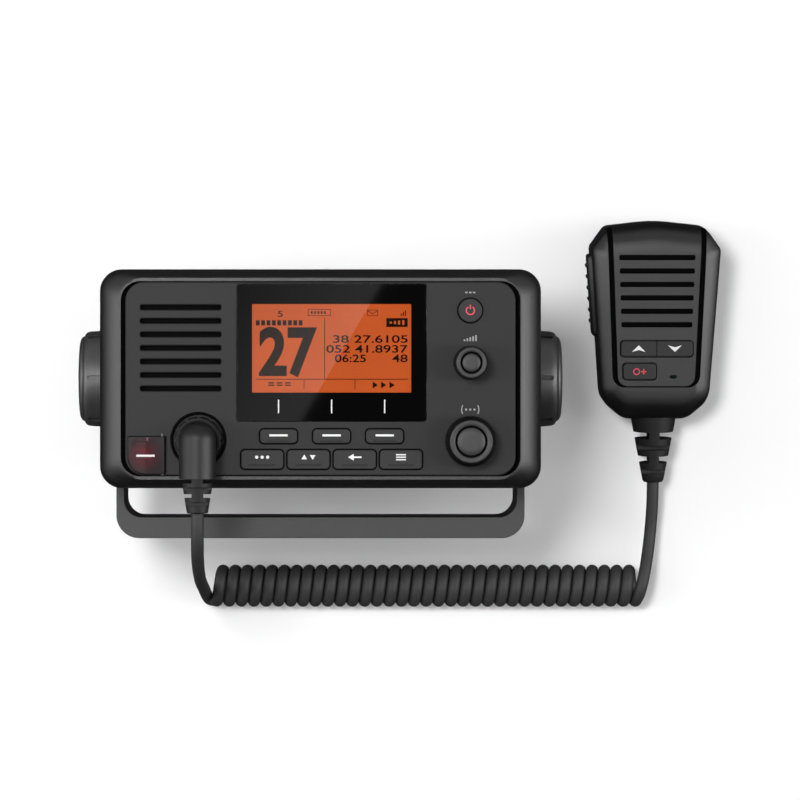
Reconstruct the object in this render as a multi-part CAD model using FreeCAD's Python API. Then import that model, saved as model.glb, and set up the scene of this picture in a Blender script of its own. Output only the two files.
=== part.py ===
"""Fixed-mount VHF marine radio on a U bracket, with a fist microphone on a curly cord.

Frame: +X right, +Y to the radio's top edge, +Z out of the front panel. The radio lies on its
back with the microphone beside it, and z = 0 is the surface below both. Millimetres.
Radio pieces are drawn about the radio's centre line, microphone pieces in the microphone's
own frame with its back face at z = 0. Both are then put in their places.
"""
import FreeCAD
import Part
import math
import os

V = FreeCAD.Vector
X_AXIS = V(1, 0, 0)
Y_AXIS = V(0, 1, 0)
Z_AXIS = V(0, 0, 1)

# ---- driving dimensions: radio housing ----
BEZEL_WIDTH = 170.0
BEZEL_HEIGHT = 84.4
BEZEL_RADIUS = 8.5
BEZEL_DRAFT = 1.0           # the bezel is this much narrower all round at its back
SIDE_BEVEL = 8.3            # bevel seen from the front, left and right
EDGE_BEVEL = 3.6            # bevel seen from the front, top and bottom
LIP_WIDTH = 1.2             # flat lip between top or bottom bevel and the panel gap
LIP_SIDE = 0.2              # the same lip at the sides
LIP_RADIUS = 8.5
SIDE_GROOVE = 1.9           # dark groove between side bevel and panel
EDGE_GAP = 0.35             # gap between lip and panel
PANEL_RADIUS = 7.0
PANEL_THICKNESS = 2.5
LEDGE_WIDTH = 1.5           # shelf that carries the panel
BEZEL_OPENING_RADIUS = 4.0
SIDE_HOLLOW_WIDTH = 4.4     # slots that lighten the bezel's thick sides
SIDE_HOLLOW_ENDS = 13.0
SIDE_HOLLOW_ROOF = 6.0
CHASSIS_STEP_X = 9.0        # the chassis is this much narrower than the bezel, left and right
CHASSIS_STEP_Y = 3.2        # and this much at the top and bottom
CHASSIS_RADIUS = 4.0
CHASSIS_DEPTH = 100.0
CHASSIS_WALL = 6.0
CAVITY_RADIUS = 8.0
CASE_FLANGE = 8.0           # flange below the heads of the case screws
FIN_HEIGHT = 18.0
FIN_THICKNESS = 2.4
FIN_COUNT = 22
FIN_SETBACK = 6.0           # fin ends from the chassis top and bottom
FIN_EDGE = 4.0              # outermost fins from the chassis sides
FLOOR_THICKNESS = 4.0
GASKET_THICKNESS = 1.5
GASKET_INSET = 1.0
BEZEL_BACK_DEPTH = 20.5     # from the bezel's back to its widest line
BEVEL_DEPTH = 11.4          # from the widest line to the lip
PANEL_PROUD = 0.6           # panel face above the lip

# ---- clearances ----
KEY_GAP = 0.2
FIT_GAP = 0.1
RUN_GAP = 0.05
SLIDE_GAP = 0.3

# ---- driving dimensions: front panel ----
PANEL_EDGE = 0.4
SLOT_COUNT = 7
SLOT_LENGTH = 31.1
SLOT_WIDTH = 1.9
SLOT_PITCH = 5.18
SLOT_RIM = 0.35             # chamfer round each slot at the face
SLOTS_FROM_TOP = 9.75
WINDOW_WIDTH = 72.8
WINDOW_HEIGHT = 53.0
WINDOW_RADIUS = 1.3
WINDOW_THICKNESS = 1.5
WINDOW_PROUD = 0.15
WINDOW_FROM_TOP = 0.5
WINDOW_EDGE = 0.25
DISPLAY_X = 4.25
LCD_WIDTH = 60.9
LCD_HEIGHT = 33.9
LCD_FROM_TOP = 25.4
LCD_THICKNESS = 2.4
LCD_ROOM = 0.5              # opening in the panel round the display
LCD_AIR = 0.2               # air gap between glass and display
LCD_FOOT_INSET = 2.0
SOFT_KEY_SPACE = 6.1
SOFT_KEY_WIDTH = 14.2
SOFT_KEY_HEIGHT = 5.4
SOFT_KEY_FROM_BOTTOM = 15.05
MENU_KEY_SPACE = 1.6
MENU_KEY_WIDTH = 16.1
MENU_KEY_HEIGHT = 7.3
MENU_KEY_FROM_BOTTOM = 6.15
KEY_RADIUS = 1.5
KEY_PROUD = 1.1
KEY_TRAVEL = 0.8
KEY_FLANGE = 0.8
KEY_FLANGE_THICKNESS = 1.2
KEY_CROWN = 0.4
MAT_THICKNESS = 1.3
CONTROLS_FROM_RIGHT = 17.3
POWER_KEY_RADIUS = 4.55
POWER_KEY_FROM_TOP = 10.95
VOLUME_RADIUS = 6.65
VOLUME_HEIGHT = 12.6
VOLUME_FROM_TOP = 30.95
VOLUME_GROOVE = 4.1         # outer radius of the ring groove in the knob's face
SELECT_RADIUS = 9.8
SELECT_HEIGHT = 11.6
SELECT_FROM_BOTTOM = 13.15
SELECT_GROOVE = 6.6
GROOVE_WIDTH = 0.9
GROOVE_DEPTH = 0.8
KNOB_LIFT = 0.9             # gap below a knob at rest
KNOB_TRAVEL = 0.5
KNOB_EDGE = 0.8
KNOB_ROOF = 3.0             # solid above the shaft's end
SHAFT_RADIUS = 2.4
BUSH_WALL = 1.1
BUSH_PROUD = 1.0
ENCODER_SIZE = 13.0
ENCODER_FLOOR = 0.3
ROTOR_RADIUS = 5.0
ROTOR_THICKNESS = 1.4
ROTOR_LIFT = 1.0
COVER_WIDTH = 14.0
COVER_HEIGHT = 14.4
COVER_FROM_LEFT = 1.1
COVER_FROM_BOTTOM = 0.5
COVER_THICKNESS = 1.2
COVER_PROUD = 0.8
COVER_WELL_DEPTH = 1.6
COVER_CORNER = 0.6
COVER_HINGE_GAP = 0.9       # open strip beside the hinge, room for the cover's edge to turn
COVER_PIN_RADIUS = 0.6
COVER_PIN_INSET = 1.0
COVER_PIN_DEPTH = 0.5
COVER_PIN_TOP = 1.2         # the pin reaches this far into the panel above the cover
COVER_PIN_FOOT = 0.4        # and this far below it
KNUCKLE_RADIUS = 1.2
KNUCKLE_END = 0.4
DISTRESS_SIZE = 8.4
DISTRESS_SHIFT = 0.6        # the button sits left of the cover's middle, clear of the hinge
DISTRESS_RISE = 0.4
FRONT_BOARD_BESIDE = 5.1    # from the loudspeaker's rim to the board
FRONT_BOARD_INSET = 1.0     # from the panel's shelf
FRONT_BOARD_ENDS = 3.05
BOARD_THICKNESS = 1.6
POST_RADIUS = 2.0

# ---- driving dimensions: loudspeaker, sockets and plug ----
SPEAKER_BESIDE = 2.6        # from the panel's shelf to the loudspeaker's rim
SPEAKER_RADIUS = 17.0
SPEAKER_DEPTH = 20.0
MAGNET_RADIUS = 11.0
MAGNET_DEPTH = 9.0
SPEAKER_RIM = 2.5
CLOTH_THICKNESS = 0.5
SOCKET_BESIDE_COVER = 1.2
SOCKET_FROM_BOTTOM = 13.6
SOCKET_HOLE_RADIUS = 10.7
SOCKET_FLANGE = 1.4
SPIGOT_RADIUS = 7.2
FLANGE_THICKNESS = 2.0
SPIGOT_WALL = 1.6
SPIGOT_HEIGHT = 3.6
SOCKET_FACE_DEPTH = 0.7
COLLAR_WALL = 1.8
COLLAR_LIFT = 0.3
COLLAR_NOTCHES = 12
ELBOW_RADIUS = 7.0
ELBOW_AXIS_LIFT = 12.8      # elbow axis above the panel face
ELBOW_REACH = 14.5
PLUG_RELIEF_LENGTH = 13.2
PLUG_RELIEF_START = 6.0
PLUG_RELIEF_END = 4.3
RELIEF_RINGS = 4
ANTENNA_RADIUS = 8.0
ANTENNA_LENGTH = 12.0
REAR_SOCKET_X = 45.0
BAY_WIDTH = 34.0
ANTENNA_Y = 15.0
ANTENNA_BORE = 1.9
ANTENNA_FLANGE = 3.0
ANTENNA_NECK = 1.0          # the neck in the chassis floor is this much thinner than the barrel
POWER_Y = -16.0
SOCKET_DEPTH = 8.0
POWER_SOCKET_WIDTH = 24.0
POWER_SOCKET_HEIGHT = 14.0
POWER_SOCKET_WALL = 2.0
POWER_SOCKET_FLOOR = 4.0
POWER_NECK_INSET = 3.0

# ---- driving dimensions: bracket and clamp knobs ----
CLAMP_Z = 69.0
ARM_GAP = 1.4               # between chassis side and bracket arm, filled by the rubber pad
ARM_THICKNESS = 3.0
BRACKET_DEPTH = 38.0
BRACKET_ROOM = 15.5         # from the chassis underside to the bracket's base
BRACKET_BASE = 8.3
BRACKET_RADIUS = 9.0
BRACKET_INNER_RADIUS = 7.0
BRACKET_SLOT_LENGTH = 12.8
BRACKET_SLOT_WIDTH = 5.5
BRACKET_SLOT_SPACING = 102.8
BRACKET_EDGE = 1.1
STUD_RADIUS = 3.0
STUD_HOLE_CLEARANCE = 0.3
PAD_HOLE_CLEARANCE = 1.0
PAD_RADIUS = 16.0
CLAMP_RADIUS = 19.35
CLAMP_THICKNESS = 12.9
CLAMP_CAP = 1.7
CLAMP_CAP_RADIUS = 17.0
CLAMP_FLUTES = 18
CLAMP_FLUTE_RADIUS = 1.3
CLAMP_LIFT = 0.7            # grip from the bracket arm
CLAMP_HUB_RADIUS = 9.0
CLAMP_HUB_GAP = 0.3
CLAMP_FLUTE_OUT = 0.6       # flute centres outside the grip's rim
CLAMP_FLUTE_END = 2.0
STUD_SEAT = 9.0             # how deep the stud is moulded into the grip
STUD_TIP_GAP = 1.0
PAD_GAP = 0.2
INSERT_WALL = 1.6
INSERT_LENGTH = 11.0
BOSS_WALL = 3.4
BOSS_END = 4.0

# ---- driving dimensions: inside the chassis ----
MAIN_BOARD_ROOM_X = 6.0      # from the cavity's walls to the board
MAIN_BOARD_ROOM_Y = 5.0
MAIN_BOARD_LIFT = 16.0
BOARD_SCREW_INSET = 6.0
BOARD_SCREW_BITE = 6.0
BOARD_POST_RADIUS = 3.5
SHIELD_WIDTH = 62.0
SHIELD_HEIGHT = 44.0
SHIELD_DEPTH = 8.0
SHIELD_WALL = 0.8
SHIELD_X = -14.0
MODULE_WIDTH = 46.0
MODULE_HEIGHT = 22.0
MODULE_DEPTH = 8.0
MODULE_EARS = 7.0
MODULE_X = -16.0
PART_X = 44.0               # column of tall components on the main board
SCREW_RADIUS = 1.5
SCREW_HEAD_RADIUS = 2.8
SCREW_HEAD_HEIGHT = 2.4
SCREW_DRIVE_RADIUS = 1.3
SCREW_DRIVE_FLOOR = 1.0
SCREW_TIP_GAP = 0.5
SCREW_POST_ROOF = 2.0
FLUSH_DEPTH = 0.4           # screw heads sit this far below the microphone's back
SCREW_INSET = 4.0           # case screws from the chassis corner
SCREW_CHANNEL = 4.2
SCREW_BITE = 12.0

# ---- driving dimensions: microphone ----
MIC_BESIDE = 14.95          # from the right clamp knob to the microphone
MIC_FROM_RADIO_Y = 25.6
MIC_WIDTH = 52.7            # at the shoulders
MIC_SHOULDER_Y = 29.6
MIC_TOP_HALF = 20.2
MIC_TOP_Y = 38.1
MIC_CROWN_Y = 40.35
MIC_LOWER_HALF = 22.0
MIC_LOWER_Y = -30.5
MIC_CHIN_HALF = 11.5
MIC_BOTTOM_Y = -40.35
MIC_DEPTH = 30.0
MIC_PARTING = 13.0
MIC_WAIST = 21.0            # height where the front's slope begins
MIC_WAIST_INSET = 1.0
MIC_FACE_INSET = 6.2
MIC_BACK_INSET = 3.0
MIC_BACK_EDGE = 4.0
MIC_EDGE_INSET = 0.4
MIC_WALL = 2.2
MIC_SLOT_COUNT = 6
MIC_SLOT_LENGTH = 31.0
MIC_SLOT_STEP = 0.4         # each slot is this much shorter than the one above
MIC_SLOT_WIDTH = 2.2
MIC_SLOT_PITCH = 5.48
MIC_SLOT_TOP = 26.5
MIC_SLOT_RIM = 0.4
ROCKER_WIDTH = 29.3
ROCKER_HEIGHT = 6.4
ROCKER_Y = -10.7
ROCKER_SPLIT = 0.3
LOW_KEY_WIDTH = 13.4
LOW_KEY_HEIGHT = 6.6
LOW_KEY_X = -6.9
LOW_KEY_Y = -20.0
MIC_KEY_PROUD = 0.7
MIC_KEY_TRAVEL = 0.7
MIC_FLANGE_THICKNESS = 1.2
VOICE_HOLE_X = 6.8
VOICE_HOLE_Y = -22.2
VOICE_HOLE_WIDTH = 2.6
VOICE_HOLE_HEIGHT = 1.4
PTT_LENGTH = 33.2
PTT_HEIGHT = 12.0
PTT_THICKNESS = 5.2
PTT_PROUD = 1.7
PTT_Y = 10.2
PTT_ROOM = 3.0              # room behind the bar for its travel
MIC_SPEAKER_RADIUS = 14.0
MIC_SPEAKER_DEPTH = 9.0
MIC_MAGNET_RADIUS = 8.0
MIC_BOARD_Z = 9.0
MIC_BOARD_WIDTH = 36.0
MIC_BOARD_HEIGHT = 66.0
MIC_SCREWS = ((0.0, 31.0), (0.0, -30.0))
MIC_POST_RADIUS = 3.4
STUD_HEAD_RADIUS = 7.5
STUD_HEAD_THICKNESS = 2.0
STUD_NECK_RADIUS = 4.5
STUD_HEIGHT = 4.2
STUD_SHANK_RADIUS = 2.0
STUD_SHANK_LENGTH = 7.5
STUD_Y = 16.0
MIC_RELIEF_LENGTH = 26.5
MIC_RELIEF_START = 9.4
MIC_RELIEF_END = 4.6
MIC_RELIEF_Z = 15.0
MIC_RELIEF_NECK = 4.8       # radius of the neck that the two shells clamp
MIC_RELIEF_NECK_LENGTH = 5.0

# ---- driving dimensions: curly cord ----
CORD_DIAMETER = 4.9
COIL_DIAMETER = 17.5
COIL_FROM_SOCKET = 8.7      # start of the coil, right of the socket's axis
COIL_FROM_MIC = -11.0       # end of the coil, left of the microphone's axis
COIL_BELOW_BRACKET = 22.7

# ---- places worked out from the dimensions above ----
CHASSIS_WIDTH = BEZEL_WIDTH - 2 * CHASSIS_STEP_X
CHASSIS_HEIGHT = BEZEL_HEIGHT - 2 * CHASSIS_STEP_Y
CHASSIS_FRONT = CHASSIS_DEPTH
BEZEL_BACK = CHASSIS_FRONT + GASKET_THICKNESS
BEZEL_RIM = BEZEL_BACK + BEZEL_BACK_DEPTH
LIP_Z = BEZEL_RIM + BEVEL_DEPTH
PANEL_FACE = LIP_Z + PANEL_PROUD
PANEL_BACK = PANEL_FACE - PANEL_THICKNESS
PANEL_WIDTH = BEZEL_WIDTH - 2 * (SIDE_BEVEL + LIP_SIDE + SIDE_GROOVE)
PANEL_HEIGHT = BEZEL_HEIGHT - 2 * (EDGE_BEVEL + LIP_WIDTH + EDGE_GAP)
PANEL_LEFT = -PANEL_WIDTH / 2
PANEL_RIGHT = PANEL_WIDTH / 2
PANEL_TOP = PANEL_HEIGHT / 2
PANEL_BOTTOM = -PANEL_HEIGHT / 2
SPEAKER_X = PANEL_LEFT + LEDGE_WIDTH + SPEAKER_BESIDE + SPEAKER_RADIUS
SPEAKER_Y = PANEL_TOP - SLOTS_FROM_TOP - SLOT_PITCH * (SLOT_COUNT - 1) / 2
WINDOW_Y = PANEL_TOP - WINDOW_FROM_TOP - WINDOW_HEIGHT / 2
LCD_Y = PANEL_TOP - LCD_FROM_TOP
SOFT_KEY_Y = PANEL_BOTTOM + SOFT_KEY_FROM_BOTTOM
MENU_KEY_Y = PANEL_BOTTOM + MENU_KEY_FROM_BOTTOM
SOFT_KEY_PITCH = SOFT_KEY_WIDTH + SOFT_KEY_SPACE
MENU_KEY_PITCH = MENU_KEY_WIDTH + MENU_KEY_SPACE
CONTROL_X = PANEL_RIGHT - CONTROLS_FROM_RIGHT
POWER_KEY_Y = PANEL_TOP - POWER_KEY_FROM_TOP
VOLUME_Y = PANEL_TOP - VOLUME_FROM_TOP
SELECT_Y = PANEL_BOTTOM + SELECT_FROM_BOTTOM
COVER_X = PANEL_LEFT + COVER_FROM_LEFT + COVER_WIDTH / 2
COVER_Y = PANEL_BOTTOM + COVER_FROM_BOTTOM + COVER_HEIGHT / 2
COVER_EDGE_X = COVER_X + COVER_WIDTH / 2
COVER_EDGE_Y = COVER_Y + COVER_HEIGHT / 2
COVER_TOP = PANEL_FACE + COVER_PROUD
COVER_BACK = COVER_TOP - COVER_THICKNESS
COVER_WELL = PANEL_FACE - COVER_WELL_DEPTH
PIN_X = COVER_EDGE_X - COVER_PIN_INSET
PIN_Z = PANEL_FACE - COVER_PIN_DEPTH
DISTRESS_X = COVER_X - DISTRESS_SHIFT
DISTRESS_TOP = COVER_WELL + DISTRESS_RISE
SOCKET_X = COVER_EDGE_X + COVER_HINGE_GAP + SOCKET_BESIDE_COVER + SOCKET_HOLE_RADIUS
SOCKET_Y = PANEL_BOTTOM + SOCKET_FROM_BOTTOM
SOCKET_FACE = PANEL_FACE - SOCKET_FACE_DEPTH
SPIGOT_TOP = PANEL_FACE + SPIGOT_HEIGHT
COLLAR_RADIUS = SPIGOT_RADIUS + COLLAR_WALL
COLLAR_BACK = PANEL_FACE + COLLAR_LIFT
COLLAR_TOP = PANEL_FACE + ELBOW_AXIS_LIFT - ELBOW_RADIUS - SLIDE_GAP
ELBOW_Z = PANEL_FACE + ELBOW_AXIS_LIFT
ELBOW_END_Y = SOCKET_Y - ELBOW_REACH
PLUG_RELIEF_TIP = ELBOW_END_Y - PLUG_RELIEF_LENGTH
KEY_FLANGE_TOP = PANEL_BACK - SLIDE_GAP
KEY_FLANGE_BACK = KEY_FLANGE_TOP - KEY_FLANGE_THICKNESS
MAT_TOP = KEY_FLANGE_BACK - KEY_TRAVEL - SLIDE_GAP
BOARD_FRONT = MAT_TOP - MAT_THICKNESS
BOARD_BACK = BOARD_FRONT - BOARD_THICKNESS
FRONT_BOARD_LEFT = SPEAKER_X + SPEAKER_RADIUS + FRONT_BOARD_BESIDE
FRONT_BOARD_RIGHT = PANEL_RIGHT - LEDGE_WIDTH - FRONT_BOARD_INSET
FRONT_BOARD_WIDTH = FRONT_BOARD_RIGHT - FRONT_BOARD_LEFT
FRONT_BOARD_HEIGHT = PANEL_HEIGHT - 2 * (LEDGE_WIDTH + FRONT_BOARD_ENDS)
FRONT_BOARD_X = (FRONT_BOARD_LEFT + FRONT_BOARD_RIGHT) / 2
SPEAKER_FRONT = PANEL_BACK - CLOTH_THICKNESS
BUSH_RADIUS = SHAFT_RADIUS + BUSH_WALL
ROTOR_LOW = BOARD_FRONT + ROTOR_LIFT
SHAFT_FOOT = BOARD_FRONT + ENCODER_FLOOR + KNOB_TRAVEL + FIT_GAP + RUN_GAP
CHASSIS_SIDE = CHASSIS_WIDTH / 2
ARM_INNER = CHASSIS_SIDE + ARM_GAP
ARM_OUTER = ARM_INNER + ARM_THICKNESS
BRACKET_DROP = CHASSIS_HEIGHT / 2 + BRACKET_ROOM + BRACKET_BASE
INSERT_RADIUS = STUD_RADIUS + INSERT_WALL
BOSS_RADIUS = INSERT_RADIUS + BOSS_WALL
CHASSIS_FLOOR = FIN_HEIGHT + FLOOR_THICKNESS
CAVITY_WIDTH = CHASSIS_WIDTH - 2 * CHASSIS_WALL
CAVITY_HEIGHT = CHASSIS_HEIGHT - 2 * CHASSIS_WALL
SCREW_SEAT = CHASSIS_FRONT - CASE_FLANGE
MAIN_BOARD_WIDTH = CAVITY_WIDTH - 2 * MAIN_BOARD_ROOM_X
MAIN_BOARD_HEIGHT = CAVITY_HEIGHT - 2 * MAIN_BOARD_ROOM_Y
MAIN_BOARD_Z = CHASSIS_FLOOR + MAIN_BOARD_LIFT
MAIN_BOARD_TOP = MAIN_BOARD_Z + BOARD_THICKNESS
CLAMP_FACE = ARM_OUTER + CLAMP_LIFT
CLAMP_OUTER = CLAMP_FACE + CLAMP_THICKNESS + CLAMP_CAP
MIC_FROM_RADIO_X = CLAMP_OUTER + MIC_BESIDE + MIC_WIDTH / 2
COIL_START = SOCKET_X + COIL_FROM_SOCKET
COIL_END = MIC_FROM_RADIO_X + COIL_FROM_MIC
COIL_Y = -BRACKET_DROP - COIL_BELOW_BRACKET
KEY_CAP_BACK = MIC_DEPTH - MIC_WALL - SLIDE_GAP - MIC_FLANGE_THICKNESS
KEY_CAP_TOP = MIC_DEPTH + MIC_KEY_PROUD
MIC_BACK_FOOT = MIC_BOTTOM_Y + MIC_BACK_INSET
MIC_TILT = math.atan2(STUD_HEIGHT, STUD_Y - STUD_HEAD_RADIUS - MIC_BACK_FOOT)
MIC_LIFT = -MIC_BACK_FOOT * math.sin(MIC_TILT)
MIC_TOP_REACH = MIC_FROM_RADIO_Y + max(
    (MIC_CROWN_Y - inset) * math.cos(MIC_TILT) - z * math.sin(MIC_TILT)
    for inset, z in ((MIC_BACK_INSET, 0), (MIC_EDGE_INSET, MIC_BACK_EDGE), (0, MIC_PARTING))
)
# the part's origin is below the middle of the radio, bracket and microphone together
RADIO_X = -(MIC_FROM_RADIO_X + MIC_WIDTH / 2 - CLAMP_OUTER) / 2
RADIO_Y = -(MIC_TOP_REACH - BRACKET_DROP) / 2
RADIO_PLACE = FreeCAD.Placement(V(RADIO_X, RADIO_Y, 0), FreeCAD.Rotation())
MIC_PLACE = FreeCAD.Placement(
    V(RADIO_X + MIC_FROM_RADIO_X, RADIO_Y + MIC_FROM_RADIO_Y, MIC_LIFT),
    FreeCAD.Rotation(X_AXIS, math.degrees(MIC_TILT)),
)
BOARD_POSTS = [
    (x, y)
    for x in (DISPLAY_X - WINDOW_WIDTH / 2 + POST_RADIUS, DISPLAY_X + WINDOW_WIDTH / 2 + 2 * POST_RADIUS)
    for y in (FRONT_BOARD_HEIGHT / 2 - 1.25 * POST_RADIUS, SOFT_KEY_Y)
]
CASE_SCREWS = [
    (sx * (CHASSIS_WIDTH / 2 - SCREW_INSET), sy * (CHASSIS_HEIGHT / 2 - SCREW_INSET))
    for sx in (-1, 1)
    for sy in (-1, 1)
]
BOARD_SCREWS = [
    (sx * (MAIN_BOARD_WIDTH / 2 - BOARD_SCREW_INSET), sy * (MAIN_BOARD_HEIGHT / 2 - BOARD_SCREW_INSET))
    for sx in (-1, 1)
    for sy in (-1, 1)
]


# ---- drawing helpers ----
def arc(x, y, z, radius, start, stop):
    """Arc about (x, y) in the plane z, angles in degrees."""
    points = []
    for angle in (start, (start + stop) / 2, stop):
        turn = math.radians(angle)
        points.append(V(x + radius * math.cos(turn), y + radius * math.sin(turn), z))
    return Part.Arc(*points).toShape()


def close_path(curves):
    """Joins curves that follow each other into one closed wire, with lines in the gaps."""
    edges = []
    for index, curve in enumerate(curves):
        edges.append(curve)
        here = curve.valueAt(curve.LastParameter)
        following = curves[(index + 1) % len(curves)]
        there = following.valueAt(following.FirstParameter)
        if here.distanceToPoint(there) > 1e-6:
            edges.append(Part.LineSegment(here, there).toShape())
    return Part.Wire(edges)


def round_rect(width, height, radius, z, x=0.0, y=0.0):
    """Rectangle with rounded corners, as a closed wire."""
    right = x + width / 2 - radius
    left = x - width / 2 + radius
    top = y + height / 2 - radius
    bottom = y - height / 2 + radius
    return close_path([
        arc(right, top, z, radius, 0, 90),
        arc(left, top, z, radius, 90, 180),
        arc(left, bottom, z, radius, 180, 270),
        arc(right, bottom, z, radius, 270, 360),
    ])


def slab(width, height, radius, z0, z1, x=0.0, y=0.0):
    """Plate with rounded corners between two heights."""
    face = Part.Face(round_rect(width, height, radius, z0, x, y))
    return face.extrude(V(0, 0, z1 - z0))


def taper(low, high, x=0.0, y=0.0):
    """Solid between two rounded rectangles, each (width, height, radius, z)."""
    wires = [round_rect(*low, x, y), round_rect(*high, x, y)]
    return Part.makeLoft(wires, True, True)


def disc(radius, z0, z1, x=0.0, y=0.0):
    return Part.makeCylinder(radius, z1 - z0, V(x, y, z0))


def tube(outer, inner, z0, z1, x=0.0, y=0.0):
    return disc(outer, z0, z1, x, y).cut(disc(inner, z0, z1, x, y))


def rod_x(radius, x0, x1, y, z):
    return Part.makeCylinder(radius, x1 - x0, V(x0, y, z), X_AXIS)


def rod_y(radius, y0, y1, x, z):
    """Rod from y0 down to y1, y1 below y0."""
    return Part.makeCylinder(radius, y0 - y1, V(x, y0, z), -Y_AXIS)


def join(shapes):
    whole = shapes[0]
    for shape in shapes[1:]:
        whole = whole.fuse(shape)
    return whole.removeSplitter()


def flat_edges(shape, z):
    """Edges that lie in the plane z."""
    found = []
    for edge in shape.Edges:
        box = edge.BoundBox
        if abs(box.ZMin - z) < 1e-5 and abs(box.ZMax - z) < 1e-5:
            found.append(edge)
    return found


def save(name, shape, place):
    """Puts a piece in its place, checks it and writes it."""
    placed = shape.copy()
    placed.Placement = place.multiply(placed.Placement)
    if not placed.isValid() or placed.Volume <= 0:
        raise ValueError(name + " isn't a sound solid")
    placed.exportStep("parts/" + name + ".step")
    print(name, len(placed.Solids), round(placed.Volume, 1))


def save_radio(name, shape):
    save(name, shape, RADIO_PLACE)


def save_mic(name, shape):
    save(name, shape, MIC_PLACE)


# ---- radio housing ----
def in_socket_bay(x):
    return abs(x - REAR_SOCKET_X) < BAY_WIDTH / 2 + FIN_THICKNESS / 2


def rear_chassis():
    body = slab(CHASSIS_WIDTH, CHASSIS_HEIGHT, CHASSIS_RADIUS, FIN_HEIGHT, CHASSIS_FRONT)
    body = body.cut(slab(CAVITY_WIDTH, CAVITY_HEIGHT, CAVITY_RADIUS, CHASSIS_FLOOR, CHASSIS_FRONT + 1))
    fin_length = CHASSIS_HEIGHT - 2 * FIN_SETBACK
    pitch = (CHASSIS_WIDTH - 2 * FIN_EDGE - FIN_THICKNESS) / (FIN_COUNT - 1)
    fins = []
    for index in range(FIN_COUNT):
        x = (index - (FIN_COUNT - 1) / 2) * pitch
        if not in_socket_bay(x):
            fins.append(slab(FIN_THICKNESS, fin_length, 1.0, 0, FIN_HEIGHT + 1, x))
    posts = [disc(BOARD_POST_RADIUS, CHASSIS_FLOOR - 1, MAIN_BOARD_Z, x, y) for x, y in BOARD_SCREWS]
    boss_root = CHASSIS_SIDE - INSERT_LENGTH - BOSS_END
    bosses = [rod_x(BOSS_RADIUS, boss_root, CHASSIS_SIDE - 1, 0, CLAMP_Z)]
    bosses.append(rod_x(BOSS_RADIUS, 1 - CHASSIS_SIDE, -boss_root, 0, CLAMP_Z))
    body = join([body] + fins + posts + bosses)
    cuts = [rod_x(INSERT_RADIUS, CHASSIS_SIDE - INSERT_LENGTH, CHASSIS_SIDE + 1, 0, CLAMP_Z)]
    cuts.append(rod_x(INSERT_RADIUS, -CHASSIS_SIDE - 1, INSERT_LENGTH - CHASSIS_SIDE, 0, CLAMP_Z))
    for x, y in CASE_SCREWS:
        cuts.append(disc(SCREW_CHANNEL, 0, SCREW_SEAT, x, y))
        cuts.append(disc(SCREW_RADIUS + FIT_GAP, SCREW_SEAT, CHASSIS_FRONT, x, y))
    for x, y in BOARD_SCREWS:
        cuts.append(disc(SCREW_RADIUS, MAIN_BOARD_Z - BOARD_SCREW_BITE, MAIN_BOARD_Z, x, y))
    cuts.append(disc(ANTENNA_RADIUS - ANTENNA_NECK, 0, CHASSIS_FLOOR + 1, REAR_SOCKET_X, ANTENNA_Y))
    cuts.append(slab(POWER_SOCKET_WIDTH - 2 * POWER_NECK_INSET, POWER_SOCKET_HEIGHT - 2 * POWER_NECK_INSET,
                     1.0, 0, CHASSIS_FLOOR + 1, REAR_SOCKET_X, POWER_Y))
    for cut in cuts:
        body = body.cut(cut)
    return body


def case_gasket():
    z0 = CHASSIS_FRONT
    width = CHASSIS_WIDTH - 2 * GASKET_INSET
    height = CHASSIS_HEIGHT - 2 * GASKET_INSET
    ring = slab(width, height, CHASSIS_RADIUS, z0, BEZEL_BACK)
    ring = ring.cut(slab(CAVITY_WIDTH, CAVITY_HEIGHT, CAVITY_RADIUS, z0 - 1, BEZEL_BACK + 1))
    for x, y in CASE_SCREWS:
        ring = ring.cut(disc(SCREW_RADIUS + FIT_GAP, z0 - 1, BEZEL_BACK + 1, x, y))
    return ring


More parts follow.
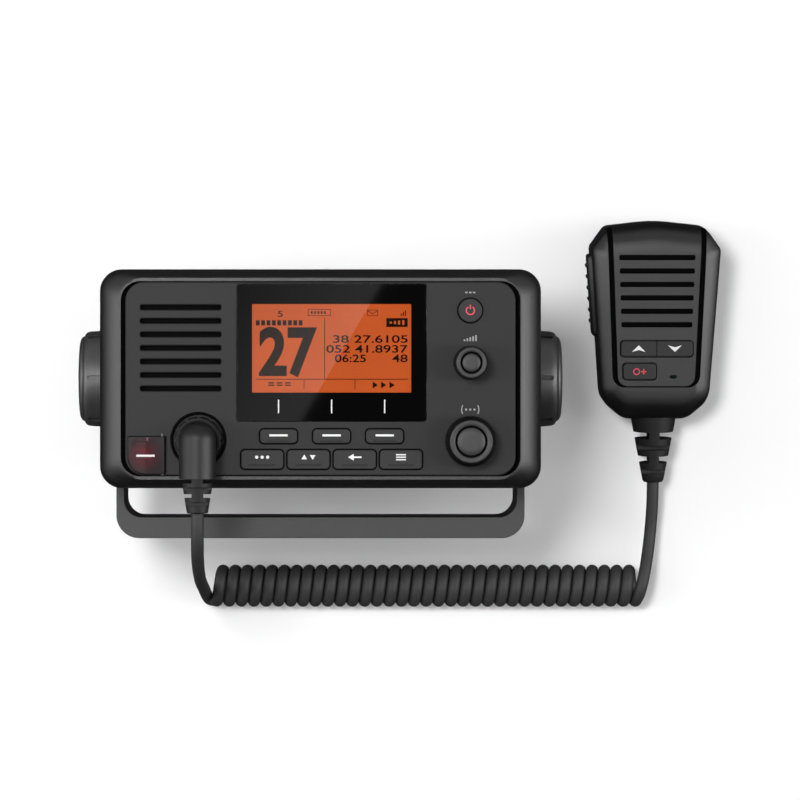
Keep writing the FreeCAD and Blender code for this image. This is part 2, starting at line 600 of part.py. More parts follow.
def front_bezel():
    back = (BEZEL_WIDTH - 2 * BEZEL_DRAFT, BEZEL_HEIGHT - 2 * BEZEL_DRAFT, BEZEL_RADIUS, BEZEL_BACK)
    rim = (BEZEL_WIDTH, BEZEL_HEIGHT, BEZEL_RADIUS, BEZEL_RIM)
    lip = (BEZEL_WIDTH - 2 * SIDE_BEVEL, BEZEL_HEIGHT - 2 * EDGE_BEVEL, LIP_RADIUS, LIP_Z)
    body = taper(back, rim).fuse(taper(rim, lip)).removeSplitter()
    pocket_width = PANEL_WIDTH + 2 * SIDE_GROOVE
    pocket_height = PANEL_HEIGHT + 2 * EDGE_GAP
    body = body.cut(slab(pocket_width, pocket_height, PANEL_RADIUS + EDGE_GAP, PANEL_BACK, LIP_Z + 1))
    opening_width = PANEL_WIDTH - 2 * LEDGE_WIDTH
    opening_height = PANEL_HEIGHT - 2 * LEDGE_WIDTH
    body = body.cut(slab(opening_width, opening_height, BEZEL_OPENING_RADIUS, BEZEL_BACK - 1, PANEL_BACK + 1))
    hollow_x = (CHASSIS_WIDTH / 2 + BEZEL_WIDTH / 2 - BEZEL_DRAFT) / 2 + LIP_SIDE
    for side in (-1, 1):
        body = body.cut(slab(SIDE_HOLLOW_WIDTH, BEZEL_HEIGHT - 2 * SIDE_HOLLOW_ENDS, 1.5,
                             BEZEL_BACK - 1, BEZEL_RIM - SIDE_HOLLOW_ROOF, side * hollow_x))
    post_top = BEZEL_BACK + SCREW_BITE + SCREW_POST_ROOF
    posts = [disc(SCREW_CHANNEL, BEZEL_BACK, post_top, x, y) for x, y in CASE_SCREWS]
    body = join([body] + posts)
    flange_room = SOCKET_HOLE_RADIUS + SOCKET_FLANGE + SLIDE_GAP
    flange_back = PANEL_BACK - FLANGE_THICKNESS - SLIDE_GAP
    body = body.cut(disc(flange_room, flange_back, PANEL_BACK, SOCKET_X, SOCKET_Y))
    for x, y in CASE_SCREWS:
        body = body.cut(disc(SCREW_RADIUS, BEZEL_BACK, BEZEL_BACK + SCREW_BITE, x, y))
    return body


def case_screws():
    screws = []
    for x, y in CASE_SCREWS:
        head = disc(SCREW_HEAD_RADIUS, SCREW_SEAT - SCREW_HEAD_HEIGHT, SCREW_SEAT, x, y)
        drive = disc(SCREW_DRIVE_RADIUS, SCREW_SEAT - SCREW_HEAD_HEIGHT, SCREW_SEAT - SCREW_DRIVE_FLOOR, x, y)
        shank = disc(SCREW_RADIUS, SCREW_SEAT, BEZEL_BACK + SCREW_BITE - SCREW_TIP_GAP, x, y)
        screws.append(head.cut(drive).fuse(shank))
    return Part.makeCompound(screws)


def thread_inserts():
    inserts = []
    for side in (-1, 1):
        x0 = min(side * CHASSIS_SIDE, side * (CHASSIS_SIDE - INSERT_LENGTH))
        sleeve = rod_x(INSERT_RADIUS, x0, x0 + INSERT_LENGTH, 0, CLAMP_Z)
        bore = rod_x(STUD_RADIUS + RUN_GAP, x0 - 1, x0 + INSERT_LENGTH + 1, 0, CLAMP_Z)
        inserts.append(sleeve.cut(bore))
    return Part.makeCompound(inserts)


# ---- front panel and what sits in it ----
def soft_key_x(index):
    return DISPLAY_X + (index - 1) * SOFT_KEY_PITCH


def menu_key_x(index):
    return DISPLAY_X + (index - 1.5) * MENU_KEY_PITCH


def slot_cutter(length, width, rim, low, face, x, y):
    """Long slot right through a face, with a chamfered rim at the outside."""
    radius = width * 0.4
    cutter = slab(length, width, radius, low, face + rim, x, y)
    flare = taper((length, width, radius, face - rim),
                  (length + 4 * rim, width + 4 * rim, radius + 2 * rim, face + rim), x, y)
    return cutter.fuse(flare)


def key_holes():
    """Openings in the panel for every pressed key."""
    low = PANEL_BACK - 1
    high = PANEL_FACE + 1
    holes = []
    for index in range(3):
        holes.append(slab(SOFT_KEY_WIDTH + 2 * KEY_GAP, SOFT_KEY_HEIGHT + 2 * KEY_GAP, KEY_RADIUS + KEY_GAP,
                          low, high, soft_key_x(index), SOFT_KEY_Y))
    for index in range(4):
        holes.append(slab(MENU_KEY_WIDTH + 2 * KEY_GAP, MENU_KEY_HEIGHT + 2 * KEY_GAP, KEY_RADIUS + KEY_GAP,
                          low, high, menu_key_x(index), MENU_KEY_Y))
    holes.append(disc(POWER_KEY_RADIUS + KEY_GAP, low, high, CONTROL_X, POWER_KEY_Y))
    return holes


def cover_outline(grow, z):
    """Outline of the distress cover: its lower left corner follows the panel's corner."""
    left = COVER_EDGE_X - COVER_WIDTH - grow
    right = COVER_EDGE_X + grow
    top = COVER_EDGE_Y + grow
    bottom = COVER_EDGE_Y - COVER_HEIGHT - grow
    big = PANEL_RADIUS - COVER_FROM_BOTTOM + grow
    small = COVER_CORNER + grow
    return close_path([
        arc(right - small, top - small, z, small, 0, 90),
        arc(left + small, top - small, z, small, 90, 180),
        arc(left + big, bottom + big, z, big, 180, 270),
        arc(right - small, bottom + small, z, small, 270, 360),
    ])


def cover_slab(grow, z0, z1):
    return Part.Face(cover_outline(grow, z0)).extrude(V(0, 0, z1 - z0))


def cover_pin():
    return rod_y(COVER_PIN_RADIUS, COVER_EDGE_Y + COVER_PIN_TOP, COVER_EDGE_Y - COVER_HEIGHT - COVER_PIN_FOOT,
                 PIN_X, PIN_Z)


def front_panel():
    low = PANEL_BACK
    high = PANEL_FACE
    body = slab(PANEL_WIDTH, PANEL_HEIGHT, PANEL_RADIUS, low, high)
    body = body.makeChamfer(PANEL_EDGE, flat_edges(body, high))
    posts = [disc(POST_RADIUS, BOARD_FRONT, low + PANEL_EDGE, x, y) for x, y in BOARD_POSTS]
    body = join([body] + posts)
    cuts = key_holes()
    for index in range(SLOT_COUNT):
        y = PANEL_TOP - SLOTS_FROM_TOP - index * SLOT_PITCH
        cuts.append(slot_cutter(SLOT_LENGTH, SLOT_WIDTH, SLOT_RIM, low - 1, high, SPEAKER_X, y))
    recess = WINDOW_THICKNESS - WINDOW_PROUD
    cuts.append(slab(WINDOW_WIDTH + 2 * FIT_GAP, WINDOW_HEIGHT + 2 * FIT_GAP, WINDOW_RADIUS + FIT_GAP,
                     high - recess, high + 1, DISPLAY_X, WINDOW_Y))
    cuts.append(slab(LCD_WIDTH + 2 * LCD_ROOM, LCD_HEIGHT + 2 * LCD_ROOM, 0.5, low - 1, high, DISPLAY_X, LCD_Y))
    for y in (VOLUME_Y, SELECT_Y):
        cuts.append(disc(BUSH_RADIUS + KEY_GAP, low - 1, high + 1, CONTROL_X, y))
    cuts.append(disc(SOCKET_HOLE_RADIUS, low - 1, high + 1, SOCKET_X, SOCKET_Y))
    cuts.append(cover_slab(SLIDE_GAP, COVER_WELL, high + 1))
    cuts.append(slab(2 * COVER_HINGE_GAP, COVER_HEIGHT + 2 * SLIDE_GAP, 0.4, COVER_WELL, high + 1,
                     COVER_EDGE_X, COVER_Y))
    cuts.append(slab(DISTRESS_SIZE + 2 * KEY_GAP, DISTRESS_SIZE + 2 * KEY_GAP, KEY_RADIUS + KEY_GAP,
                     low - 1, high, DISTRESS_X, COVER_Y))
    cuts.append(cover_pin())
    cuts.append(rod_y(KNUCKLE_RADIUS + SLIDE_GAP, COVER_EDGE_Y + SLIDE_GAP,
                      COVER_EDGE_Y - COVER_HEIGHT - SLIDE_GAP, PIN_X, PIN_Z))
    for cut in cuts:
        body = body.cut(cut)
    return body


def speaker_cloth():
    width = SLOT_LENGTH + 3.0
    height = SLOT_PITCH * SLOT_COUNT
    return slab(width, height, 2.0, PANEL_BACK - CLOTH_THICKNESS, PANEL_BACK, SPEAKER_X, SPEAKER_Y)


def speaker_frame():
    x, y = SPEAKER_X, SPEAKER_Y
    rim_back = SPEAKER_FRONT - SPEAKER_RIM
    magnet_front = SPEAKER_FRONT - SPEAKER_DEPTH + MAGNET_DEPTH
    flange = tube(SPEAKER_RADIUS, SPEAKER_RADIUS - 2.0, rim_back, SPEAKER_FRONT, x, y)
    depth = rim_back - magnet_front
    outer = Part.makeCone(MAGNET_RADIUS, SPEAKER_RADIUS - 1.0, depth, V(x, y, magnet_front))
    inner = Part.makeCone(MAGNET_RADIUS - 1.0, SPEAKER_RADIUS - 2.0, depth, V(x, y, magnet_front))
    magnet = disc(MAGNET_RADIUS, SPEAKER_FRONT - SPEAKER_DEPTH, magnet_front + 1.0, x, y)
    return join([flange, outer.cut(inner), magnet])


def speaker_cone():
    x, y = SPEAKER_X, SPEAKER_Y
    rim = SPEAKER_FRONT - SPEAKER_RIM
    foot = SPEAKER_FRONT - SPEAKER_DEPTH + MAGNET_DEPTH + 1.4
    outer = Part.makeCone(4.0, SPEAKER_RADIUS - 3.2, rim - foot, V(x, y, foot))
    inner = Part.makeCone(3.4, SPEAKER_RADIUS - 3.8, rim - foot, V(x, y, foot + 0.6))
    surround = tube(SPEAKER_RADIUS - 2.7, SPEAKER_RADIUS - 4.2, rim - 0.6, rim + 0.4, x, y)
    cap = Part.makeSphere(4.4, V(x, y, foot + 1.6)).cut(disc(9, foot - 9, foot + 1.2, x, y))
    return join([outer.cut(inner), surround, cap])


def display_window():
    top = PANEL_FACE + WINDOW_PROUD
    glass = slab(WINDOW_WIDTH, WINDOW_HEIGHT, WINDOW_RADIUS, top - WINDOW_THICKNESS, top, DISPLAY_X, WINDOW_Y)
    return glass.makeChamfer(WINDOW_EDGE, flat_edges(glass, top))


def lcd_panel():
    top = PANEL_FACE + WINDOW_PROUD - WINDOW_THICKNESS - LCD_AIR
    back = top - LCD_THICKNESS
    cell = slab(LCD_WIDTH, LCD_HEIGHT, 0.4, back, top, DISPLAY_X, LCD_Y)
    foot = slab(LCD_WIDTH - 2 * LCD_FOOT_INSET, LCD_HEIGHT - 2 * LCD_FOOT_INSET, 0.4, BOARD_FRONT, back,
                DISPLAY_X, LCD_Y)
    return cell.fuse(foot)


def front_board():
    board = slab(FRONT_BOARD_WIDTH, FRONT_BOARD_HEIGHT, 2.0, BOARD_BACK, BOARD_FRONT, FRONT_BOARD_X)
    parts = [board]
    for index in range(5):
        x = FRONT_BOARD_X - 36.0 + index * 18.0
        parts.append(slab(8.0 + index, 9.0, 0.3, BOARD_BACK - 1.6, BOARD_BACK, x, 12.0 - 6.0 * (index % 3)))
    return join(parts)


def keypad_mat():
    low = BOARD_FRONT
    high = MAT_TOP
    row_width = 4 * MENU_KEY_PITCH
    row_top = SOFT_KEY_Y + SOFT_KEY_HEIGHT / 2 + 1.2
    row_bottom = MENU_KEY_Y - MENU_KEY_HEIGHT / 2 - 0.6
    keys = slab(row_width, row_top - row_bottom, 2.0, low, high, DISPLAY_X, (row_top + row_bottom) / 2)
    strip_x = DISPLAY_X + LCD_WIDTH / 2 + 2.6
    strip = slab(3.0, POWER_KEY_Y + 1.5 - row_bottom, 0.5, low, high, strip_x,
                 (POWER_KEY_Y + 1.5 + row_bottom) / 2)
    bridge = slab(CONTROL_X - strip_x, 3.0, 0.5, low, high, (CONTROL_X + strip_x) / 2, POWER_KEY_Y)
    pad = disc(POWER_KEY_RADIUS + 1.5, low, high, CONTROL_X, POWER_KEY_Y)
    mat = join([keys, strip, bridge, pad])
    for x, y in BOARD_POSTS:
        mat = mat.cut(disc(POST_RADIUS + KEY_GAP, low - 1, high + 1, x, y))
    return mat


def pressed_key(width, height, x, y):
    """Key cap with the flange that holds it behind the panel."""
    top = PANEL_FACE + KEY_PROUD
    cap = slab(width, height, KEY_RADIUS, KEY_FLANGE_BACK, top, x, y)
    cap = cap.makeFillet(KEY_CROWN, flat_edges(cap, top))
    grow = 2 * KEY_FLANGE
    flange = slab(width + grow, height + grow, KEY_RADIUS, KEY_FLANGE_BACK, KEY_FLANGE_TOP, x, y)
    return cap.fuse(flange).removeSplitter()


def power_key():
    top = PANEL_FACE + KEY_PROUD
    cap = disc(POWER_KEY_RADIUS, KEY_FLANGE_BACK, top, CONTROL_X, POWER_KEY_Y)
    cap = cap.makeFillet(KEY_CROWN, flat_edges(cap, top))
    flange = disc(POWER_KEY_RADIUS + KEY_FLANGE, KEY_FLANGE_BACK, KEY_FLANGE_TOP, CONTROL_X, POWER_KEY_Y)
    return cap.fuse(flange).removeSplitter()


def distress_button():
    cap = slab(DISTRESS_SIZE, DISTRESS_SIZE, KEY_RADIUS, KEY_FLANGE_BACK, DISTRESS_TOP, DISTRESS_X, COVER_Y)
    cap = cap.makeFillet(KEY_CROWN, flat_edges(cap, DISTRESS_TOP))
    flange = slab(DISTRESS_SIZE + 2 * KEY_FLANGE, DISTRESS_SIZE + 2 * KEY_FLANGE, KEY_RADIUS,
                  KEY_FLANGE_BACK, KEY_FLANGE_TOP, DISTRESS_X, COVER_Y)
    return cap.fuse(flange).removeSplitter()


def distress_cover():
    body = cover_slab(0, COVER_BACK, COVER_TOP)
    body = body.makeFillet(0.35, flat_edges(body, COVER_TOP))
    tab = slab(4.4, 1.4, 0.5, COVER_TOP - 0.6, COVER_TOP + 0.7, COVER_X - 2.2, COVER_EDGE_Y - 1.1)
    knuckle = rod_y(KNUCKLE_RADIUS, COVER_EDGE_Y - KNUCKLE_END, COVER_EDGE_Y - COVER_HEIGHT + KNUCKLE_END,
                    PIN_X, PIN_Z)
    knuckle = knuckle.cut(slab(4, 2 * COVER_HEIGHT, 0.5, COVER_TOP - 0.3, COVER_TOP + 3, PIN_X, COVER_Y))
    body = join([body, tab, knuckle])
    bore = rod_y(COVER_PIN_RADIUS + RUN_GAP, COVER_Y + COVER_HEIGHT, COVER_Y - COVER_HEIGHT, PIN_X, PIN_Z)
    return body.cut(bore)


def cover_hinge_pin():
    return cover_pin()


def encoder(y):
    """Rotary encoder housing with its bush, standing on the front board."""
    box = slab(ENCODER_SIZE, ENCODER_SIZE, 0.8, BOARD_FRONT, KEY_FLANGE_TOP, CONTROL_X, y)
    bush = disc(BUSH_RADIUS, KEY_FLANGE_TOP, PANEL_FACE + BUSH_PROUD, CONTROL_X, y)
    body = box.fuse(bush)
    room_top = ROTOR_LOW + ROTOR_THICKNESS + RUN_GAP
    room = disc(ROTOR_RADIUS + FIT_GAP, ROTOR_LOW - RUN_GAP, room_top, CONTROL_X, y)
    bore = disc(SHAFT_RADIUS + RUN_GAP, BOARD_FRONT + ENCODER_FLOOR, PANEL_FACE + BUSH_PROUD + 1, CONTROL_X, y)
    return body.cut(room).cut(bore)


def encoder_rotor(y):
    return tube(ROTOR_RADIUS, SHAFT_RADIUS + RUN_GAP, ROTOR_LOW, ROTOR_LOW + ROTOR_THICKNESS, CONTROL_X, y)


def encoder_shaft(y, height):
    return disc(SHAFT_RADIUS, SHAFT_FOOT, PANEL_FACE + height - KNOB_ROOF, CONTROL_X, y)


def control_knob(y, radius, height, groove):
    """Push knob with a ring groove in its face."""
    low = PANEL_FACE + KNOB_LIFT
    top = PANEL_FACE + height + KNOB_LIFT
    body = disc(radius, low, top, CONTROL_X, y)
    body = body.makeFillet(KNOB_EDGE, flat_edges(body, top))
    body = body.cut(tube(groove, groove - GROOVE_WIDTH, top - GROOVE_DEPTH, top + 1, CONTROL_X, y))
    body = body.cut(disc(SHAFT_RADIUS, low, PANEL_FACE + height - KNOB_ROOF, CONTROL_X, y))
    bush_room = low + BUSH_PROUD + KNOB_TRAVEL
    return body.cut(disc(BUSH_RADIUS + 0.5, low - 1, bush_room, CONTROL_X, y))


# ---- microphone socket and elbow plug ----
def mic_socket():
    x, y = SOCKET_X, SOCKET_Y
    flange_back = PANEL_BACK - FLANGE_THICKNESS
    flange = disc(SOCKET_HOLE_RADIUS + SOCKET_FLANGE, flange_back, PANEL_BACK, x, y)
    face = disc(SOCKET_HOLE_RADIUS - FIT_GAP, flange_back, SOCKET_FACE, x, y)
    spigot = disc(SPIGOT_RADIUS - FIT_GAP, SOCKET_FACE, SPIGOT_TOP, x, y)
    rear = disc(SOCKET_HOLE_RADIUS - 2.2, flange_back - 10.0, flange_back, x, y)
    body = join([flange, face, spigot, rear])
    return body.cut(disc(SPIGOT_RADIUS - SPIGOT_WALL, PANEL_FACE - 4.0, SPIGOT_TOP + 1, x, y))


def plug_collar():
    ring = disc(COLLAR_RADIUS, COLLAR_BACK, COLLAR_TOP, SOCKET_X, SOCKET_Y)
    ring = ring.makeFillet(0.9, flat_edges(ring, COLLAR_TOP))
    ring = ring.cut(disc(SPIGOT_RADIUS + FIT_GAP, COLLAR_BACK, COLLAR_TOP, SOCKET_X, SOCKET_Y))
    for index in range(COLLAR_NOTCHES):
        turn = 2 * math.pi * index / COLLAR_NOTCHES
        x = SOCKET_X + (COLLAR_RADIUS + 0.5) * math.cos(turn)
        y = SOCKET_Y + (COLLAR_RADIUS + 0.5) * math.sin(turn)
        ring = ring.cut(disc(1.1, COLLAR_BACK, COLLAR_TOP, x, y))
    return ring


def mic_plug():
    x, y = SOCKET_X, SOCKET_Y
    stem = disc(min(ELBOW_RADIUS, SPIGOT_RADIUS) - RUN_GAP, SPIGOT_TOP + FIT_GAP, ELBOW_Z, x, y)
    tip = disc(SPIGOT_RADIUS - SPIGOT_WALL - KEY_GAP, PANEL_FACE - 3.8, SPIGOT_TOP + KEY_GAP, x, y)
    dome = Part.makeSphere(ELBOW_RADIUS, V(x, y, ELBOW_Z))
    arm = rod_y(ELBOW_RADIUS, y, ELBOW_END_Y, x, ELBOW_Z)
    return join([stem, tip, dome, arm])


def ribbed_relief(length, start, end, rings, place):
    """Tapered sleeve with rings, along -Y from the origin."""
    core = Part.makeCone(start * 0.62, end * 0.72, length, V(0, 0, 0), -Y_AXIS)
    pieces = [core]
    step = length / rings
    for index in range(rings):
        near = index * step
        wide = start + (end - start) * near / length
        narrow = start + (end - start) * (near + step * 0.6) / length
        pieces.append(Part.makeCone(wide, narrow, step * 0.6, V(0, -near, 0), -Y_AXIS))
    sleeve = join(pieces)
    sleeve.Placement = place
    return sleeve


def plug_strain_relief():
    place = FreeCAD.Placement(V(SOCKET_X, ELBOW_END_Y, ELBOW_Z), FreeCAD.Rotation())
    return ribbed_relief(PLUG_RELIEF_LENGTH, PLUG_RELIEF_START, PLUG_RELIEF_END, RELIEF_RINGS, place)


# ---- inside and back of the radio ----
def main_board():
    board = slab(MAIN_BOARD_WIDTH, MAIN_BOARD_HEIGHT, 2.0, MAIN_BOARD_Z, MAIN_BOARD_TOP)
    for x, y in BOARD_SCREWS:
        board = board.cut(disc(SCREW_RADIUS + FIT_GAP, 0, CHASSIS_DEPTH, x, y))
    parts = [board]
    for index in range(4):
        parts.append(slab(9.0, 7.0 + index, 0.4, MAIN_BOARD_TOP, MAIN_BOARD_TOP + 3.0 + index,
                          PART_X, 11.0 * index - MAIN_BOARD_HEIGHT / 2 + 12.0))
    return join(parts)


def rf_shield():
    low = MAIN_BOARD_TOP
    high = low + SHIELD_DEPTH
    can = slab(SHIELD_WIDTH, SHIELD_HEIGHT, 1.5, low, high, SHIELD_X)
    room_width = SHIELD_WIDTH - 2 * SHIELD_WALL
    room_height = SHIELD_HEIGHT - 2 * SHIELD_WALL
    return can.cut(slab(room_width, room_height, 1.0, low - 1, high - SHIELD_WALL, SHIELD_X))


def power_module():
    width = MODULE_WIDTH + 2 * MODULE_EARS
    flange = slab(width, MODULE_HEIGHT, 1.0, CHASSIS_FLOOR, CHASSIS_FLOOR + 2.0, MODULE_X)
    body = slab(MODULE_WIDTH, MODULE_HEIGHT - 2.0, 1.0, CHASSIS_FLOOR, CHASSIS_FLOOR + MODULE_DEPTH, MODULE_X)
    return join([flange, body])


def board_screws():
    screws = []
    seat = MAIN_BOARD_TOP
    tip = MAIN_BOARD_Z - BOARD_SCREW_BITE + SCREW_TIP_GAP
    for x, y in BOARD_SCREWS:
        head = disc(SCREW_HEAD_RADIUS, seat, seat + SCREW_HEAD_HEIGHT, x, y)
        head = head.cut(disc(SCREW_DRIVE_RADIUS, seat + SCREW_DRIVE_FLOOR, seat + SCREW_HEAD_HEIGHT, x, y))
        screws.append(head.fuse(disc(SCREW_RADIUS, tip, seat, x, y)))
    return Part.makeCompound(screws)


def antenna_socket():
    x, y = REAR_SOCKET_X, ANTENNA_Y
    flange_low = FIN_HEIGHT - ANTENNA_FLANGE
    tip = flange_low - ANTENNA_LENGTH
    flange = slab(25.0, 25.0, 2.0, flange_low, FIN_HEIGHT, x, y)
    barrel = disc(ANTENNA_RADIUS, tip, FIN_HEIGHT, x, y)
    rear = disc(ANTENNA_RADIUS - ANTENNA_NECK - FIT_GAP, FIN_HEIGHT, CHASSIS_FLOOR + 6.0, x, y)
    body = join([flange, barrel, rear])
    return body.cut(disc(ANTENNA_BORE, tip - 1, tip + 9.0, x, y))


def power_socket():
    x, y = REAR_SOCKET_X, POWER_Y
    low = FIN_HEIGHT - SOCKET_DEPTH - POWER_SOCKET_FLOOR
    shell = slab(POWER_SOCKET_WIDTH, POWER_SOCKET_HEIGHT, 2.0, low, FIN_HEIGHT, x, y)
    neck_inset = 2 * (POWER_NECK_INSET + FIT_GAP)
    neck = slab(POWER_SOCKET_WIDTH - neck_inset, POWER_SOCKET_HEIGHT - neck_inset, 1.0,
                FIN_HEIGHT, CHASSIS_FLOOR + 4.0, x, y)
    mouth = slab(POWER_SOCKET_WIDTH - 2 * POWER_SOCKET_WALL, POWER_SOCKET_HEIGHT - 2 * POWER_SOCKET_WALL,
                 1.0, low - 1, low + SOCKET_DEPTH, x, y)
    body = join([shell, neck]).cut(mouth)
    pins = [disc(1.2, low + 4.5, low + SOCKET_DEPTH + 0.5, x + dx, y) for dx in (-5.5, 0, 5.5)]
    return join([body] + pins)


# ---- bracket and clamp knobs ----
def bracket():
    low = CLAMP_Z - BRACKET_DEPTH / 2
    high = CLAMP_Z + BRACKET_DEPTH / 2
    rise = BRACKET_DEPTH
    outer = slab(2 * ARM_OUTER, BRACKET_DROP + rise, BRACKET_RADIUS, low, high, 0, (rise - BRACKET_DROP) / 2)
    floor = BRACKET_BASE - BRACKET_DROP
    inner = slab(2 * ARM_INNER, rise + 10 - floor, BRACKET_INNER_RADIUS, low - 1, high + 1, 0,
                 (rise + 10 + floor) / 2)
    body = outer.cut(inner)
    below = Part.makeBox(4 * ARM_OUTER, BRACKET_DROP, BRACKET_DEPTH, V(-2 * ARM_OUTER, -BRACKET_DROP, low))
    round_end = rod_x(BRACKET_DEPTH / 2, -2 * ARM_OUTER, 2 * ARM_OUTER, 0, CLAMP_Z)
    body = body.common(below.fuse(round_end))
    hole = rod_x(STUD_RADIUS + STUD_HOLE_CLEARANCE, -2 * ARM_OUTER, 2 * ARM_OUTER, 0, CLAMP_Z)
    body = body.cut(hole)
    for side in (-1, 1):
        slot = slab(BRACKET_SLOT_LENGTH, BRACKET_SLOT_WIDTH, BRACKET_SLOT_WIDTH / 2 - 0.01, 0, BRACKET_DROP + 2,
                    side * BRACKET_SLOT_SPACING / 2, 0)
        slot.Placement = FreeCAD.Placement(V(0, 0, CLAMP_Z), FreeCAD.Rotation(X_AXIS, 90))
        body = body.cut(slot)
    bead = Part.makeBox(2 * ARM_OUTER, 8 * BRACKET_EDGE, 8 * BRACKET_EDGE)
    bead.Placement = FreeCAD.Placement(
        V(-ARM_OUTER, floor - BRACKET_EDGE, high), FreeCAD.Rotation(X_AXIS, 45))
    keep = slab(2 * ARM_INNER - 2 * BRACKET_INNER_RADIUS, 30, 1.0, low - 5, high + 20, 0, floor)
    return body.cut(bead.common(keep))


def bracket_pads():
    pads = []
    for side in (-1, 1):
        thickness = ARM_GAP - PAD_GAP
        x0 = CHASSIS_SIDE if side > 0 else -CHASSIS_SIDE - thickness
        pad = rod_x(PAD_RADIUS, x0, x0 + thickness, 0, CLAMP_Z)
        pads.append(pad.cut(rod_x(STUD_RADIUS + PAD_HOLE_CLEARANCE, x0 - 1, x0 + ARM_GAP + 1, 0, CLAMP_Z)))
    return Part.makeCompound(pads)


def clamp_knob(side):
    """Hand knob with its moulded-in stud, drawn for the right side and mirrored for the left."""
    knob_end = CLAMP_FACE + CLAMP_THICKNESS
    grip = rod_x(CLAMP_RADIUS, CLAMP_FACE, knob_end, 0, CLAMP_Z)
    cap = Part.makeCone(CLAMP_RADIUS, CLAMP_CAP_RADIUS, CLAMP_CAP, V(knob_end, 0, CLAMP_Z), X_AXIS)
    hub = rod_x(CLAMP_HUB_RADIUS, ARM_OUTER + CLAMP_HUB_GAP, CLAMP_FACE, 0, CLAMP_Z)
    knob = join([grip, cap, hub])
    for index in range(CLAMP_FLUTES):
        turn = 2 * math.pi * (index + 0.5) / CLAMP_FLUTES
        y = (CLAMP_RADIUS + CLAMP_FLUTE_OUT) * math.cos(turn)
        z = CLAMP_Z + (CLAMP_RADIUS + CLAMP_FLUTE_OUT) * math.sin(turn)
        knob = knob.cut(rod_x(CLAMP_FLUTE_RADIUS, CLAMP_FACE - 1, knob_end - CLAMP_FLUTE_END, y, z))
    stud_tip = CHASSIS_SIDE - INSERT_LENGTH + STUD_TIP_GAP
    stud_end = CLAMP_FACE + STUD_SEAT
    knob = knob.cut(rod_x(STUD_RADIUS, ARM_OUTER, stud_end, 0, CLAMP_Z))
    stud = rod_x(STUD_RADIUS, stud_tip, stud_end, 0, CLAMP_Z)
    pair = Part.makeCompound([knob, stud])
    if side < 0:
        return pair.mirror(V(0, 0, 0), X_AXIS)
    return pair


# ---- microphone ----
def mic_outline(inset, z):
    """Outline of the microphone, drawn in by an inset, as a closed wire."""
    shoulder = V(MIC_WIDTH / 2 - inset, MIC_SHOULDER_Y - inset * 0.3, z)
    corner = V(MIC_TOP_HALF - inset * 0.4, MIC_TOP_Y - inset, z)
    crown = V(0, MIC_CROWN_Y - inset, z)
    lower = V(MIC_LOWER_HALF - inset, MIC_LOWER_Y, z)
    chin = V(MIC_CHIN_HALF - inset * 0.3, MIC_BOTTOM_Y + inset, z)
    side_x = lower.x - chin.x
    side_y = lower.y - chin.y
    cheek = V(chin.x + side_x * 0.72, chin.y + side_y * 0.29, z)

    def left(point):
        return V(-point.x, point.y, point.z)

    edges = [
        Part.LineSegment(shoulder, corner).toShape(),
        Part.Arc(corner, crown, left(corner)).toShape(),
        Part.LineSegment(left(corner), left(shoulder)).toShape(),
        Part.LineSegment(left(shoulder), left(lower)).toShape(),
        Part.Arc(left(lower), left(cheek), left(chin)).toShape(),
        Part.LineSegment(left(chin), chin).toShape(),
        Part.Arc(chin, cheek, lower).toShape(),
        Part.LineSegment(lower, shoulder).toShape(),
    ]
    return Part.Wire(edges)


def mic_loft(low_inset, low, high_inset, high):
    return Part.makeLoft([mic_outline(low_inset, low), mic_outline(high_inset, high)], True, True)


def ptt_block(grow, inward):
    """The push-to-talk bar's block, leaning with the shell's left side."""
    lean = math.atan2(MIC_WIDTH / 2 - MIC_LOWER_HALF, MIC_SHOULDER_Y - MIC_LOWER_Y)
    side_x = -MIC_WIDTH / 2 + (MIC_SHOULDER_Y - PTT_Y) * math.tan(lean)
    block = slab(PTT_THICKNESS + grow + inward, PTT_LENGTH + 2 * grow, 1.0 + grow, 0, PTT_HEIGHT + 2 * grow,
                 (inward - grow) / 2 + PTT_THICKNESS / 2 - PTT_PROUD, 0)
    block.Placement = FreeCAD.Placement(
        V(side_x, PTT_Y, MIC_PARTING - PTT_HEIGHT / 2 - grow), FreeCAD.Rotation(Z_AXIS, math.degrees(lean)))
    return block


def relief_neck():
    """Neck of the strain relief, held between the two shells."""
    return rod_y(MIC_RELIEF_NECK, MIC_BOTTOM_Y + MIC_RELIEF_NECK_LENGTH, MIC_BOTTOM_Y, 0, MIC_RELIEF_Z)


def relief_hole():
    hole_radius = MIC_RELIEF_NECK + FIT_GAP
    return rod_y(hole_radius, MIC_BOTTOM_Y + MIC_RELIEF_NECK_LENGTH + 1, MIC_BOTTOM_Y - 1, 0, MIC_RELIEF_Z)


